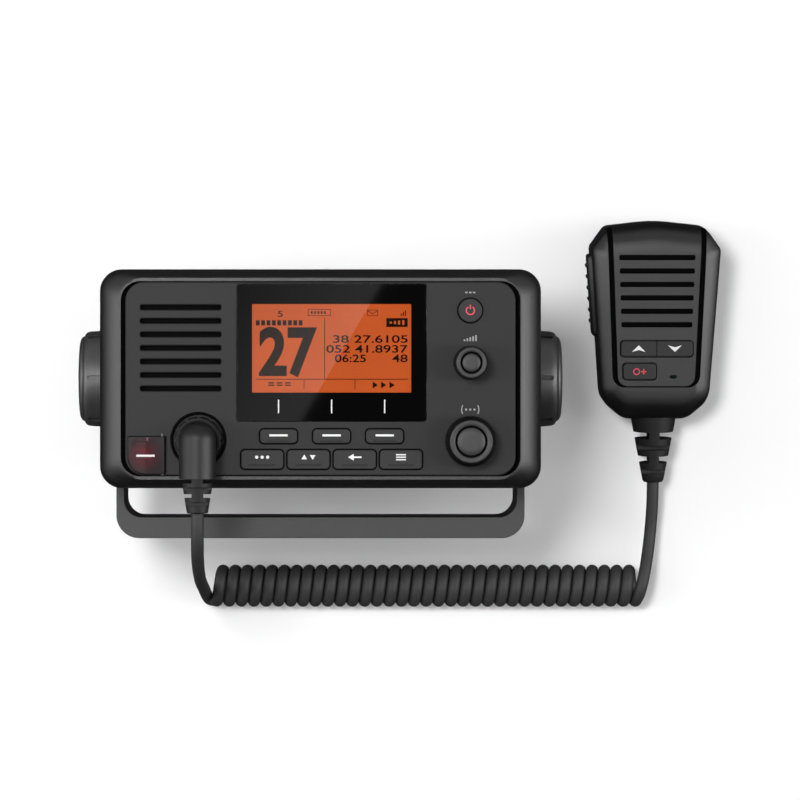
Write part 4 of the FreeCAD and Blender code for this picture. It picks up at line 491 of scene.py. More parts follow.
# ---- finishes ----
def shade(level, green=None, blue=None):
    """Display values from 0 to 255 as a linear colour. One value makes a grey."""
    values = (level, level if green is None else green, level if blue is None else blue)
    linear = []
    for value in values:
        part = value / 255
        linear.append(part / 12.92 if part <= 0.04045 else ((part + 0.055) / 1.055) ** 2.4)
    return (*linear, 1)


DRIFT_SCALE = 26.0           # slow change of tone over a surface, per metre
EDGE_GAIN = 6.0


def make_grain_group():
    """Moulded surface: fine spark-eroded grain, a slow drift of tone, and a drift of gloss."""
    tree, given, out = new_group(
        "moulded_grain",
        {"Position": "Vector", "Colour": "Color", "Tone Drift": "Float", "Roughness": "Float",
         "Gloss Drift": "Float", "Grains per Metre": "Float"},
        {"Colour": "Color", "Roughness": "Float", "Height": "Float"})
    place = {"Vector": given["Position"]}
    fine = add_node(tree, "TexNoise", {"Detail": 2.0, "Scale": given["Grains per Metre"], **place})
    cells = add_node(tree, "TexVoronoi", {"Scale": given["Grains per Metre"], **place})
    slow = add_node(tree, "TexNoise", {"Scale": DRIFT_SCALE, "Detail": 4.0, **place})
    drift = calc(tree, "SUBTRACT", slow.outputs["Fac"], 0.5)
    speck = calc(tree, "SUBTRACT", fine.outputs["Fac"], 0.5)
    tone = calc(tree, "MULTIPLY", calc(tree, "ADD", drift, speck), given["Tone Drift"])
    gloss = calc(tree, "MULTIPLY", drift, given["Gloss Drift"])
    feed(out, {
        "Colour": scaled(tree, given["Colour"], calc(tree, "ADD", tone, 1.0)),
        "Roughness": calc(tree, "ADD", gloss, given["Roughness"]),
        "Height": calc(tree, "MULTIPLY", fine.outputs["Fac"], cells.outputs["Distance"]),
    })
    return tree


def make_edge_lightening_group():
    """Edges lighter: finds corners by comparing a rounded normal with the true one."""
    tree, given, out = new_group(
        "lighter_edges",
        {"Colour": "Color", "Rubbed Colour": "Color", "Amount": "Float", "Width": "Float",
         "Breakup": "Float"},
        {"Colour": "Color"})
    bevel = add_node(tree, "Bevel", {"Radius": given["Width"]}, samples=4)
    normal = add_node(tree, "NewGeometry").outputs["Normal"]
    match = add_node(tree, "VectorMath", {0: bevel.outputs[0], 1: normal}, operation="DOT_PRODUCT")
    edge = calc(tree, "SUBTRACT", 1.0, match.outputs["Value"])
    mask = calc(tree, "MULTIPLY", edge, EDGE_GAIN)
    for part in ("Breakup", "Amount"):
        mask = calc(tree, "MULTIPLY", mask, given[part])
    mix = add_node(tree, "MixRGB", {"Fac": calc(tree, "MINIMUM", mask, 1.0), "Color1": given["Colour"],
                                    "Color2": given["Rubbed Colour"]}, use_clamp=True)
    feed(out, {"Colour": mix.outputs["Color"]})
    return tree


def make_brush_group():
    """Turned or brushed metal: fine lines along one axis that shift tone and gloss."""
    tree, given, out = new_group(
        "brushed_lines",
        {"Position": "Vector", "Colour": "Color", "Roughness": "Float", "Depth": "Float"},
        {"Colour": "Color", "Roughness": "Float", "Height": "Float"})
    stretch = add_node(tree, "VectorMath", {0: given["Position"], 1: (120, 9000, 9000)},
                       operation="MULTIPLY")
    lines = add_node(tree, "TexNoise", {"Scale": 1.0, "Vector": stretch.outputs[0]}).outputs["Fac"]
    depth = calc(tree, "MULTIPLY", calc(tree, "SUBTRACT", lines, 0.5), given["Depth"])
    feed(out, {
        "Colour": scaled(tree, given["Colour"], calc(tree, "ADD", depth, 1.0)),
        "Roughness": calc(tree, "ADD", depth, given["Roughness"]),
        "Height": lines,
    })
    return tree


def make_glow_group():
    """Light of the display: even orange with a fine pixel grid and a slow drift of level."""
    tree, given, out = new_group("display_glow", {"Position": "Vector"}, {"Colour": "Color"})
    place = {"Vector": given["Position"]}
    grid = add_node(tree, "TexBrick", {
        "Color1": shade(201, 83, 14), "Color2": shade(197, 80, 13), "Mortar": shade(189, 74, 12),
        "Scale": 1.0, "Brick Width": 0.00048, "Row Height": 0.00048, "Mortar Size": 0.00004,
        **place}, offset=0)
    drift = add_node(tree, "TexNoise", {"Scale": 30.0, **place})
    level = spread(tree, drift.outputs["Fac"], 0.90, 1.10)
    feed(out, {"Colour": scaled(tree, grid.outputs["Color"], level)})
    return tree


def make_wipe_group():
    """Faint wipe marks on a polished surface, as a value from 0 to 1."""
    tree, given, out = new_group("wipe_marks", {"Position": "Vector"}, {"Smear": "Float"})
    smear = add_node(tree, "TexNoise", {"Scale": 60.0, "Detail": 6.0, "Vector": given["Position"]})
    feed(out, {"Smear": smear.outputs["Fac"]})
    return tree


GRAIN = make_grain_group()
EDGE_LIGHTENING = make_edge_lightening_group()
BRUSHED = make_brush_group()
GLOWING = make_glow_group()
WIPED = make_wipe_group()


def place_group(tree, group, **values):
    """A group in a material, with the place on the surface and its own values. Gives its outputs."""
    inputs = {name.replace("_", " "): value for name, value in values.items()}
    return add_node(tree, "Group", {"Position": object_place(tree), **inputs}, node_tree=group).outputs


def moulded(name, colour, roughness, specular=0.5, grains=5200.0, relief=0.05, rub=0.35):
    """Moulded or painted finish with grain, drift of tone and gloss, and edges made lighter by the
    amount rub.
    """
    material, tree, paint = new_material(name, {"Specular IOR Level": specular})
    grain = place_group(tree, GRAIN, Colour=colour, Tone_Drift=0.10, Roughness=roughness,
                        Gloss_Drift=0.10, Grains_per_Metre=grains)
    lighter = tuple(min(1.0, part * 2.2 + 0.012) for part in colour[:3])
    edged = add_node(tree, "Group", {
        "Colour": grain["Colour"], "Rubbed Colour": (*lighter, 1), "Amount": rub, "Width": 0.0004,
        "Breakup": grain["Height"]}, node_tree=EDGE_LIGHTENING).outputs
    feed(paint, {"Base Color": edged["Colour"], "Roughness": grain["Roughness"],
                 "Normal": bumped(tree, grain["Height"], relief)})
    return material


def metal(name, colour, roughness, depth=0.25):
    """Bare or plated metal with fine tool lines."""
    material, tree, paint = new_material(name, {"Metallic": 1.0})
    lines = place_group(tree, BRUSHED, Colour=colour, Roughness=roughness, Depth=depth)
    feed(paint, {"Base Color": lines["Colour"], "Roughness": lines["Roughness"],
                 "Normal": bumped(tree, lines["Height"], 0.004)})
    return material


def display_glow(name):
    """Backlit display, dark when its light is off."""
    material, tree, paint = new_material(name, {
        "Base Color": shade(24, 8, 0), "Roughness": 0.5, "Specular IOR Level": 0.05,
        "Emission Strength": 1.0})
    feed(paint, {"Emission Color": place_group(tree, GLOWING)["Colour"]})
    return material


def gloss_black(name):
    """Polished black border with faint wipe marks."""
    material, tree, paint = new_material(name, {"Base Color": shade(5)})
    feed(paint, {"Roughness": spread(tree, place_group(tree, WIPED)["Smear"], 0.01, 0.05)})
    return material


def clear_glass(name):
    """Polished display glass with faint wipe marks."""
    material, tree, paint = new_material(name, {
        "Roughness": 0.0, "Transmission Weight": 1.0, "IOR": 1.5})
    feed(paint, {"Base Color": spread(tree, place_group(tree, WIPED)["Smear"], 0.92, 1.0)})
    return material


def woven(name, colour):
    """Fine acoustic cloth: two crossed sets of threads."""
    material, tree, paint = new_material(name, {"Roughness": 0.9, "Specular IOR Level": 0.04})
    threads = {"Scale": 560.0, "Vector": object_place(tree)}
    heights = [add_node(tree, "TexWave", threads, bands_direction=way).outputs["Fac"] for way in "XY"]
    weave = calc(tree, "MULTIPLY", *heights)
    feed(paint, {"Base Color": scaled(tree, colour[:3], spread(tree, weave, 0.5, 1.4)),
                 "Normal": bumped(tree, weave, 0.05)})
    return material


COVER_GLOW = (-67.5, -29.3, 134.4)   # middle of the red seen through the flap
COVER_GLOW_REACH = 7.6
COVER_GLOW_CORE = 0.8
COVER_GLOW_GAIN = 1.7


def tinted_cover(name):
    """Dark red translucent flap: a smoked tone with a soft red patch over the button below it."""
    material, tree, paint = new_material(name, {
        "Roughness": 0.4, "Specular IOR Level": 0.12, "Alpha": 0.9})
    place = object_place(tree)
    cloud = add_node(tree, "TexNoise", {"Scale": 420.0, "Detail": 2.0, "Vector": place})
    apart = add_node(tree, "VectorMath", {0: place, 1: at_radio(*COVER_GLOW)}, operation="DISTANCE")
    fade = add_node(tree, "MapRange", {"Value": apart.outputs["Value"],
                                       "From Min": COVER_GLOW_REACH * MM,
                                       "From Max": COVER_GLOW_CORE * MM},
                    interpolation_type="SMOOTHSTEP")
    patch = calc(tree, "MULTIPLY", fade.outputs["Result"], cloud.outputs["Fac"])
    mask = calc(tree, "MULTIPLY", patch, COVER_GLOW_GAIN)
    mix = add_node(tree, "MixRGB", {"Color1": shade(30, 22, 25), "Color2": shade(88, 15, 29),
                                    "Fac": mask}, use_clamp=True)
    feed(paint, {"Base Color": mix.outputs["Color"]})
    return material


def circuit_mask(name):
    """Green solder mask with copper tracks showing through as lighter lines."""
    material, tree, paint = new_material(name, {"Roughness": 0.35})
    tracks = add_node(tree, "TexBrick", {
        "Color1": (0.015, 0.085, 0.04, 1), "Color2": (0.022, 0.12, 0.055, 1),
        "Mortar": (0.06, 0.20, 0.08, 1), "Scale": 1.0, "Brick Width": 0.0075,
        "Row Height": 0.0016, "Mortar Size": 0.0002, "Vector": object_place(tree)})
    feed(paint, {"Base Color": tracks.outputs["Color"]})
    return material


# Display values are the greys that a maker's colour card would show, apart from the painted shade black.
# Near-black with almost no gloss: painted shade for grooves, gaps, slots and openings.
SHADE_BLACK = moulded("painted_shade_black", shade(7), 0.75, 0.01, relief=0.0, rub=0.0)
BRACKET_PAINT = moulded("bracket_paint", shade(43), 0.5, 0.3, grains=2400.0, relief=0.10, rub=0.4)
BEZEL_PLASTIC = moulded("case_plastic", shade(20), 0.34, 0.36)
CLAMP_PLASTIC = moulded("clamp_plastic", shade(46), 0.42)
COVER_TAB = moulded("cover_tab", shade(120, 44, 56), 0.5, rub=0.0)
KEY_RUBBER = moulded("key_rubber", shade(34), 0.58, 0.2, grains=3400.0, rub=0.15)
COLLAR_PLASTIC = moulded("collar_plastic", shade(11), 0.34, 0.08)
PTT_PLASTIC = moulded("ptt_plastic", shade(15), 0.42, 0.24)
KNOB_SKIRT = moulded("knob_skirt", shade(6), 0.42, 0.14, rub=0.05)
KNOB_TOP = moulded("knob_top", shade(44), 0.46, 0.25)
PLUG_PLASTIC = moulded("plug_plastic", shade(14), 0.4, 0.22)
SOCKET_PLASTIC = moulded("socket_plastic", shade(9), 0.40, 0.12)
MIC_PLASTIC = moulded("mic_plastic", shade(13), 0.36, 0.36)
CORD_RUBBER = moulded("cord_rubber", shade(48), 0.6, 0.2, grains=3800.0, rub=0.0)
RELIEF_RUBBER = moulded("relief_rubber", shade(24), 0.5, 0.18, grains=3800.0, rub=0.0)
WINDOW_BLACK = gloss_black("window_black")
WHITE_PRINT = moulded("white_print", shade(225), 0.6, relief=0.01, rub=0.0)
GREY_PRINT = moulded("grey_print", shade(140), 0.6, relief=0.01, rub=0.0)
RED_PRINT = moulded("red_print", shade(205, 40, 62), 0.55, relief=0.01, rub=0.0)
LCD_INK = moulded("lcd_ink", shade(20, 10, 3), 0.6, 0.0, relief=0.0, rub=0.0)
LCD_PALE = display_glow("lcd_lit_figures")
FINISHES = {
    "cast_case": moulded("cast_case", shade(46), 0.55, grains=2400.0, relief=0.12, rub=0.5),
    "case_plastic": BEZEL_PLASTIC,
    "panel_plastic": moulded("panel_plastic", shade(31), 0.55, 0.16, relief=0.03),
    "key_rubber": KEY_RUBBER,
    "knob_plastic": moulded("knob_plastic", shade(30), 0.45, 0.40),
    "window_glass": clear_glass("window_glass"),
    "lcd": display_glow("lcd"),
    "red_cover": tinted_cover("red_cover"),
    "red_button": moulded("red_button", shade(190, 26, 40), 0.4),
    "circuit_board": circuit_mask("circuit_board"),
    "steel": metal("steel", (0.50, 0.50, 0.51, 1), 0.34),
    "brass": metal("brass", (0.72, 0.53, 0.26, 1), 0.30),
    "nickel": metal("nickel", (0.62, 0.61, 0.58, 1), 0.22, 0.12),
    "aluminium": metal("aluminium", (0.68, 0.68, 0.69, 1), 0.36),
    "speaker_paper": moulded("speaker_paper", shade(24), 0.85, grains=1500.0, relief=0.15, rub=0.0),
    "cloth": woven("acoustic_cloth", shade(9)),
    "soft_rubber": moulded("soft_rubber", shade(22), 0.70, 0.3, grains=3000.0, rub=0.0),
    "cord_rubber": CORD_RUBBER,
    "mic_plastic": MIC_PLASTIC,
}
OWN_FINISHES = {"cover_hinge_pin": metal("black_steel", (0.05, 0.05, 0.052, 1), 0.4),
                "bracket": BRACKET_PAINT, "mic_plug": PLUG_PLASTIC, "mic_socket": SOCKET_PLASTIC,
                "plug_collar": COLLAR_PLASTIC, "power_socket": SOCKET_PLASTIC}
KEY_RADIUS = 0.25
ROUNDED_NODES = {"front_panel": 0.3, "bracket": 0.7, "distress_cover": KEY_RADIUS,
                 **{key: KEY_RADIUS for key in ("power_key", *SOFT_KEYS, *MENU_KEYS)}}
FLAT_ANGLE = math.radians(0.6)


def bevel_edges(node, width):
    """Small moulded radius on the sharp edges of a CAD piece."""
    modifier = node.modifiers.new("moulded_edge", "BEVEL")
    modifier.width = width * MM
    modifier.segments = 2
    modifier.limit_method = "ANGLE"
    modifier.angle_limit = math.radians(35.0)
    modifier.harden_normals = True


def finish_nodes():
    """Puts the finish of its slot on each CAD piece, and small radii on the outer ones."""
    for name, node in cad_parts.items():
        slot_name = node.data.materials[0].name.split(".")[0]
        node.data.materials.clear()
        node.data.materials.append(OWN_FINISHES.get(name, FINISHES[slot_name]))
        if slot_name == "window_glass":
            node.visible_shadow = False
        if name in ROUNDED_NODES:
            node.modifiers.new("weld", "WELD").merge_threshold = WELD_DISTANCE
            flat = node.modifiers.new("flat_faces", "DECIMATE")
            flat.decimate_type = "DISSOLVE"
            flat.angle_limit = FLAT_ANGLE
            bevel_edges(node, ROUNDED_NODES[name])


# ---- cord ----
CORD_DIAMETER = 4.9
COIL_FROM = -42.6            # first and last turn of the coil, along X from the radio's centre
COIL_TO = 130.2
COIL_Y = -85.5
COIL_RADIUS = 6.3            # from the coil's axis to the cord's centre line
COIL_AXIS_Z = COIL_RADIUS + CORD_DIAMETER / 2
COIL_TURNS = 34
TURN_POINTS = 16
COIL_START = math.radians(165)

SOCKET_X = -46.7
SOCKET_Y = -23.45
ELBOW_Z = 146.8
PLUG_RELIEF_END = -51.15
MIC_RELIEF_END = -66.85
MIC_RELIEF_Z = 15.0
MIC_EXIT = (at_mic(0, MIC_RELIEF_END, MIC_RELIEF_Z) - RADIO_CENTRE) / MM
RADIO_LEAD = [
    (SOCKET_X, PLUG_RELIEF_END, ELBOW_Z), (SOCKET_X, -59.0, ELBOW_Z), (-46.9, -66.5, 141.0),
    (-47.1, -71.6, 126.0), (-47.4, -75.6, 104.0), (-47.7, -78.8, 82.0), (-47.9, -81.4, 60.0),
    (-47.9, -83.8, 40.0), (-47.7, -86.0, 22.0), (-47.3, -88.8, 9.0), (-46.3, -91.4, 3.0),
    (-43.6, -91.8, 5.0),
]
MIC_LEAD = [
    (131.6, -88.2, 14.4), (133.4, -80.5, 14.2), (135.2, -71.5, 10.2), (136.4, -61.5, 8.8),
    (MIC_EXIT.x, MIC_EXIT.y - 8.0 * math.cos(MIC_TILT), MIC_EXIT.z - 8.0 * math.sin(MIC_TILT)),
    tuple(MIC_EXIT),
]


def coil_points():
    """Control points of the curly stretch. Each turn climbs in front and goes down behind."""
    reach = COIL_RADIUS / math.cos(math.pi / TURN_POINTS)
    steps = COIL_TURNS * TURN_POINTS
    points = []
    for step in range(steps + 1):
        share = step / steps
        turn = COIL_START - FULL_TURN * step / TURN_POINTS
        points.append((COIL_FROM + (COIL_TO - COIL_FROM) * share,
                       COIL_Y + reach * math.cos(turn),
                       COIL_AXIS_Z + reach * math.sin(turn)))
    return points


def centre_line(points):
    """Smooth line through a route, read back as close points in metres."""
    curve = bpy.data.curves.new("cord_route", "CURVE")
    curve.dimensions = "3D"
    spline = curve.splines.new("NURBS")
    spline.points.add(len(points) - 1)
    for slot, point in zip(spline.points, points):
        slot.co = (*at_radio(*point), 1)
    spline.order_u = 3
    spline.use_endpoint_u = True
    spline.resolution_u = 4
    carrier = bpy.data.objects.new("cord_route", curve)
    mesh = bpy.data.meshes.new_from_object(carrier)
    line = [vertex.co.copy() for vertex in mesh.vertices]
    bpy.data.objects.remove(carrier)
    bpy.data.meshes.remove(mesh)
    return line


def tube_rings(line, radius, sides):
    """Rings about a centre line, turned as little as possible from one to the next."""
    rings = []
    across = Vector((1, 0, 0))
    for index, here in enumerate(line):
        ahead = line[min(index + 1, len(line) - 1)] - line[max(index - 1, 0)]
        ahead.normalize()
        across = (across - ahead * across.dot(ahead)).normalized()
        up = ahead.cross(across)
        rings.append([here + (across * math.cos(turn) + up * math.sin(turn)) * radius
                      for turn in turns_round(sides)])
    return rings


CORD_SIDES = 14


def make_cord(material):
    line = centre_line(RADIO_LEAD + coil_points() + MIC_LEAD)
    tube = loft(tube_rings(line, CORD_DIAMETER / 2 * MM, CORD_SIDES))
    cord = add_piece("curly_cord", tube, lambda *point: point, material, None, "cord_rubber")
    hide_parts("cord_lead_radio", "cord_coil", "cord_lead_mic")
    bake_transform(cord)
    length = sum((b - a).length for a, b in zip(line, line[1:]))
    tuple(line[0])
    return cord


# ---- radio front case ----
BEZEL_WIDTH = 170.0
BEZEL_HEIGHT = 84.4
BEZEL_RADIUS = 8.5
BEZEL_BACK = 101.5
BEZEL_RIM = 122.0            # where the case is widest
LIP_Z = 133.4
SIDE_BEVEL = 8.3
TOP_BEVEL = 3.6
SIDE_LIP = 0.2
TOP_LIP = 1.2
PANEL_WIDTH = 149.2
PANEL_HEIGHT = 74.1
PANEL_RADIUS = 7.0
BEVEL_STEPS = 12
BEVEL_SWEEP = math.radians(55.0)   # the crowned side stops before it lies flat
TOP_CURVE = 1.6
CASE_EDGE = 0.35
CASE_INSIDE = 3.2            # wall of the case behind the panel


def bezel_ring(inset_x, inset_y, z, radius=BEZEL_RADIUS):
    return round_ring(BEZEL_WIDTH - 2 * inset_x, BEZEL_HEIGHT - 2 * inset_y, radius, z, steps=10)


def make_bezel(material, shade_lining):
    """Front case: straight sides, a crowned bevel, a thin lip and a groove round the panel, whose faces
    are painted black as shade.
    """
    groove_floor = LIP_Z - 2.4
    rings = [bezel_ring(CASE_EDGE, CASE_EDGE, BEZEL_BACK), bezel_ring(0, 0, BEZEL_BACK + CASE_EDGE)]
    for step in range(BEVEL_STEPS + 1):
        turn = BEVEL_SWEEP * step / BEVEL_STEPS
        rise = math.sin(turn) / math.sin(BEVEL_SWEEP)
        inward = (1 - math.cos(turn)) / (1 - math.cos(BEVEL_SWEEP))
        rings.append(bezel_ring(SIDE_BEVEL * inward, TOP_BEVEL * rise ** TOP_CURVE,
                                BEZEL_RIM + (LIP_Z - BEZEL_RIM) * rise))
    lip_x = SIDE_BEVEL + SIDE_LIP
    lip_y = TOP_BEVEL + TOP_LIP
    corner = PANEL_RADIUS + 0.4
    rings += [bezel_ring(lip_x, lip_y, z, corner) for z in (LIP_Z, groove_floor)]
    beside_x = (BEZEL_WIDTH - PANEL_WIDTH) / 2 - 0.1
    beside_y = (BEZEL_HEIGHT - PANEL_HEIGHT) / 2 - 0.1
    for z in (groove_floor, groove_floor - 3.5):
        rings.append(bezel_ring(beside_x, beside_y, z, PANEL_RADIUS))
    for z in (groove_floor - 4.5, BEZEL_BACK):
        rings.append(bezel_ring(CASE_INSIDE, CASE_INSIDE, z, 6.0))
    bezel = add_piece("front_case", loft(rings, closed=True), at_radio, material, "radio",
                      "case_plastic", crease=40.0)
    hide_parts("front_bezel")
    # The groove's faces take the black lining: painted shade in the groove.
    bezel.data.materials.append(shade_lining)
    middle = at_radio(0, 0, LIP_Z - 0.2)
    for face in bezel.data.polygons:
        apart = (face.center - middle) / MM
        past_x = max(0.0, abs(apart.x) - (BEZEL_WIDTH / 2 - lip_x - corner))
        past_y = max(0.0, abs(apart.y) - (BEZEL_HEIGHT / 2 - lip_y - corner))
        if math.hypot(past_x, past_y) < corner + 0.01 and apart.z < 0:
            face.material_index = 1


SPEAKER_SLOTS = 7
SPEAKER_SLOT_LENGTH = 31.1
SPEAKER_SLOT_WIDTH = 1.9
SPEAKER_SLOT_PITCH = 5.18
LINER_WALL = 0.2


def make_slot_shade_liners(material):
    """Black sleeve round the inside of each loudspeaker slot: painted shade that darkens the slot walls.
    """
    low, high = (Vector(corner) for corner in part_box("speaker_cone"))
    middle = ((low + high) / 2 - RADIO_CENTRE) / MM
    shapes = []
    for index in range(SPEAKER_SLOTS):
        y = middle.y + SPEAKER_SLOT_PITCH * ((SPEAKER_SLOTS - 1) / 2 - index)
        rings = []
        for wall, z in ((0.01, 131.6), (0.01, 133.6), (LINER_WALL, 133.6), (LINER_WALL, 131.6)):
            rings.append(round_ring(SPEAKER_SLOT_LENGTH - 2 * wall, SPEAKER_SLOT_WIDTH - 2 * wall,
                                    0.35, z, middle.x, y, 3))
        shapes.append(loft(rings, closed=True))
    add_piece("speaker_slot_liners", joined(shapes), at_radio, material, "radio", "soft_rubber")


# ---- display and printed legends ----
LCD_Y = 11.65
LCD_WIDTH = 60.9
LCD_HEIGHT = 33.9
LCD_TOP = 132.45
INK = 0.03                   # thickness of print
WINDOW_Y = 10.05
WINDOW_WIDTH = 72.8
WINDOW_HEIGHT = 53.0
WINDOW_TOP = 134.15
SOFT_KEY_Y = -22.0
MENU_KEY_Y = -30.9
KEY_TOP = 135.1
CONTROL_X = 57.3
POWER_Y = 26.1
VOLUME_Y = 6.1
SELECT_Y = -23.9


def print_figures(name, figures, left, right, low, high, bold, material):
    """Plain numerals fitted into a box on the display."""
    text = bpy.data.curves.new(name, "FONT")
    text.body = figures
    text.size = 1.0
    text.offset = bold
    text.extrude = 0.5
    text.resolution_u = 6
    carrier = bpy.data.objects.new(name, text)
    mesh = bpy.data.meshes.new_from_object(carrier)
    bpy.data.objects.remove(carrier)
    xs = [vertex.co.x for vertex in mesh.vertices]
    ys = [vertex.co.y for vertex in mesh.vertices]
    for vertex in mesh.vertices:
        x = left + (right - left) * (vertex.co.x - min(xs)) / (max(xs) - min(xs))
        y = low + (high - low) * (vertex.co.y - min(ys)) / (max(ys) - min(ys))
        vertex.co = at_radio(x, y, LCD_TOP + INK * (vertex.co.z + 0.5))
    mesh.materials.clear()
    mesh.materials.append(material)
    piece = bpy.data.objects.new(name, mesh)
    bpy.context.collection.objects.link(piece)
    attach(piece, "radio")


# Boxes of the figures on the display: left, right, lower and upper edge, and how bold.
FIGURES = {
    "lcd_channel": ("27", -23.6, -1.3, 0.5, 19.9, 0.035),
    "lcd_row_1": ("38 27.6105", 4.8, 33.4, 13.7, 16.7, 0.015),
    "lcd_row_2": ("052 41.8937", 2.2, 33.4, 9.9, 12.9, 0.015),
    "lcd_row_3": ("06:25", 5.5, 17.4, 6.3, 9.3, 0.015),
    "lcd_row_4": ("48", 27.4, 33.4, 6.3, 9.3, 0.015),
    "lcd_power_level": ("5", -16.4, -14.4, 23.6, 26.0, 0.015),
}
LCD_LINE = 0.28
ENVELOPE_FLAP = [(18.1, 26.2), (19.95, 24.95), (21.8, 26.2), (21.8, 25.9), (19.95, 24.65), (18.1, 25.9)]


def make_lcd_picture(ink, pale):
    """Channel number, rows of figures, dividing lines and plain icons, as a display shows them."""
    for name, values in FIGURES.items():
        print_figures(name, *values, ink)
    lines = [bar(1.6, 11.5, LCD_LINE, 23.2), bar(4.4, -0.2, 58.2, LCD_LINE)]
    lines += [bar(x, -2.2, LCD_LINE, 3.6) for x in (-6.3, 13.2)]
    lines += [bar(-24.0 + 2.05 * step, 21.4, 1.45, 2.0) for step in range(9)]
    lines += frame_bars(-4.8, 4.0, 24.1, 26.6, 0.22)
    lines += [bar(-3.3 + 1.25 * step, 25.35, 0.7, 1.0) for step in range(5)]
    lines += frame_bars(17.9, 22.0, 24.0, 26.4, 0.22)
    lines += [ENVELOPE_FLAP]
    for step in range(3):
        lines.append(bar(30.9 + 0.8 * step, 24.5 + 0.3 * step, 0.45, 0.9 + 0.6 * step))
        lines += [bar(-18.9 + 3.2 * step, y, 2.2, 0.5) for y in (-2.5, -1.6)]
        x = 20.0 + 3.2 * step
        lines.append([(x, -1.1), (x + 2.0, -2.4), (x, -3.7)])
    on_glass = (LCD_TOP, LCD_TOP + INK, at_radio, ink, "radio", "lcd")
    plates("lcd_lines", lines, *on_glass)
    plates("lcd_mode_box", [bar(29.3, 21.5, 8.2, 3.4)], *on_glass)
    bars = [bar(26.9 + 1.6 * step, 21.5, 0.8, 0.8 + 0.35 * step) for step in range(4)]
    plates("lcd_mode_bars", bars, LCD_TOP + INK, LCD_TOP + 2 * INK, at_radio, pale, "radio", "lcd")


def make_window_print(black, white):
    """Gloss black border of the window, and the three white ticks above the soft keys."""
    rim = round_ring(WINDOW_WIDTH - 0.6, WINDOW_HEIGHT - 0.6, 1.2, 0, DISPLAY_X, WINDOW_Y)
    hole = round_ring(LCD_WIDTH, LCD_HEIGHT, 0.3, 0, DISPLAY_X, LCD_Y)
    low = WINDOW_TOP - 0.01
    high = WINDOW_TOP + 0.02
    rings = [at_height(rim, low), at_height(rim, high), at_height(hole, high), at_height(hole, low)]
    add_piece("window_print", loft(rings, closed=True), at_radio, black, "radio", "window_glass")
    ticks = [bar(x, -10.6, 0.45, 5.2) for x in SOFT_KEYS.values()]
    plates("window_ticks", ticks, high, high + 0.015, at_radio, white, "radio", "window_glass")


def make_legends(white, grey, red):
    """Plain marks on and above the keys."""
    on_key = (KEY_TOP - 0.01, KEY_TOP + INK)
    for key, x in SOFT_KEYS.items():
        plates(key + "_dash", [bar(x, SOFT_KEY_Y + 0.35, 7.0, 0.8)], *on_key, at_radio, white, key,
               "key_rubber")
    marks = (
        [disc(2.1 * step, 0.9, 0.62) for step in (-1, 0, 1)],
        [[(-2.7, 0.1), (-0.5, 0.1), (-1.6, 1.9)], [(0.5, 1.7), (2.7, 1.7), (1.6, -0.1)]],
        [[(-2.6, 0.9), (-0.4, 2.2), (-0.4, -0.4)], bar(1.1, 0.9, 3.0, 0.62)],
        [bar(0, 0.9 + 0.95 * step, 3.8, 0.5) for step in (-1, 0, 1)],
    )
    for (key, x), outlines in zip(MENU_KEYS.items(), marks):
        moved = [[(x + px, MENU_KEY_Y + py) for px, py in outline] for outline in outlines]
        plates(key + "_mark", moved, *on_key, at_radio, white, key, "key_rubber")
    power = [arc_band(CONTROL_X, POWER_Y, 1.55, 0.5, 125, 415, 28),
             bar(CONTROL_X, POWER_Y + 1.35, 0.5, 1.7)]
    plates("power_key_mark", power, *on_key, at_radio, red, "power_key", "key_rubber")
    over = (PANEL_FACE - 0.01, PANEL_FACE + INK)
    labels = [bar(CONTROL_X + 1.5 * step, 33.0, 0.95, 0.55) for step in (-1, 0, 1)]
    for step in range(-2, 3):
        labels.append(bar(CONTROL_X + 1.1 * step, 15.1 + 0.2 * step, 0.6, 1.5 + 0.4 * step))
    labels += [disc(CONTROL_X + 1.6 * step, -11.8, 0.42) for step in (-1, 0, 1)]
    labels += [arc_band(CONTROL_X, -11.8, 3.3, 0.4, start, start + 60, 8) for start in (-30, 150)]
    plates("control_labels", labels, *over, at_radio, grey, "radio", "panel_plastic")


# ---- knobs, keys and cover ----
KNURL_DEPTH = 0.28
KNOB_SLOPE = 3.4             # height of the sloping knurl below the top ring
GROOVE_DEPTH = 0.9
KNOB_CREASE = 50.0


def knurled_ring(x, y, radius, z, ridges, knurl=0.0):
    """Ring with a point for every quarter ridge. Knurl is how deep the grooves between them go."""
    ring = []
    for turn in turns_round(ridges * 4):
        reach = radius - knurl * (0.5 - 0.5 * math.cos(ridges * turn))
        ring.append((x + reach * math.cos(turn), y + reach * math.sin(turn), z))
    return ring


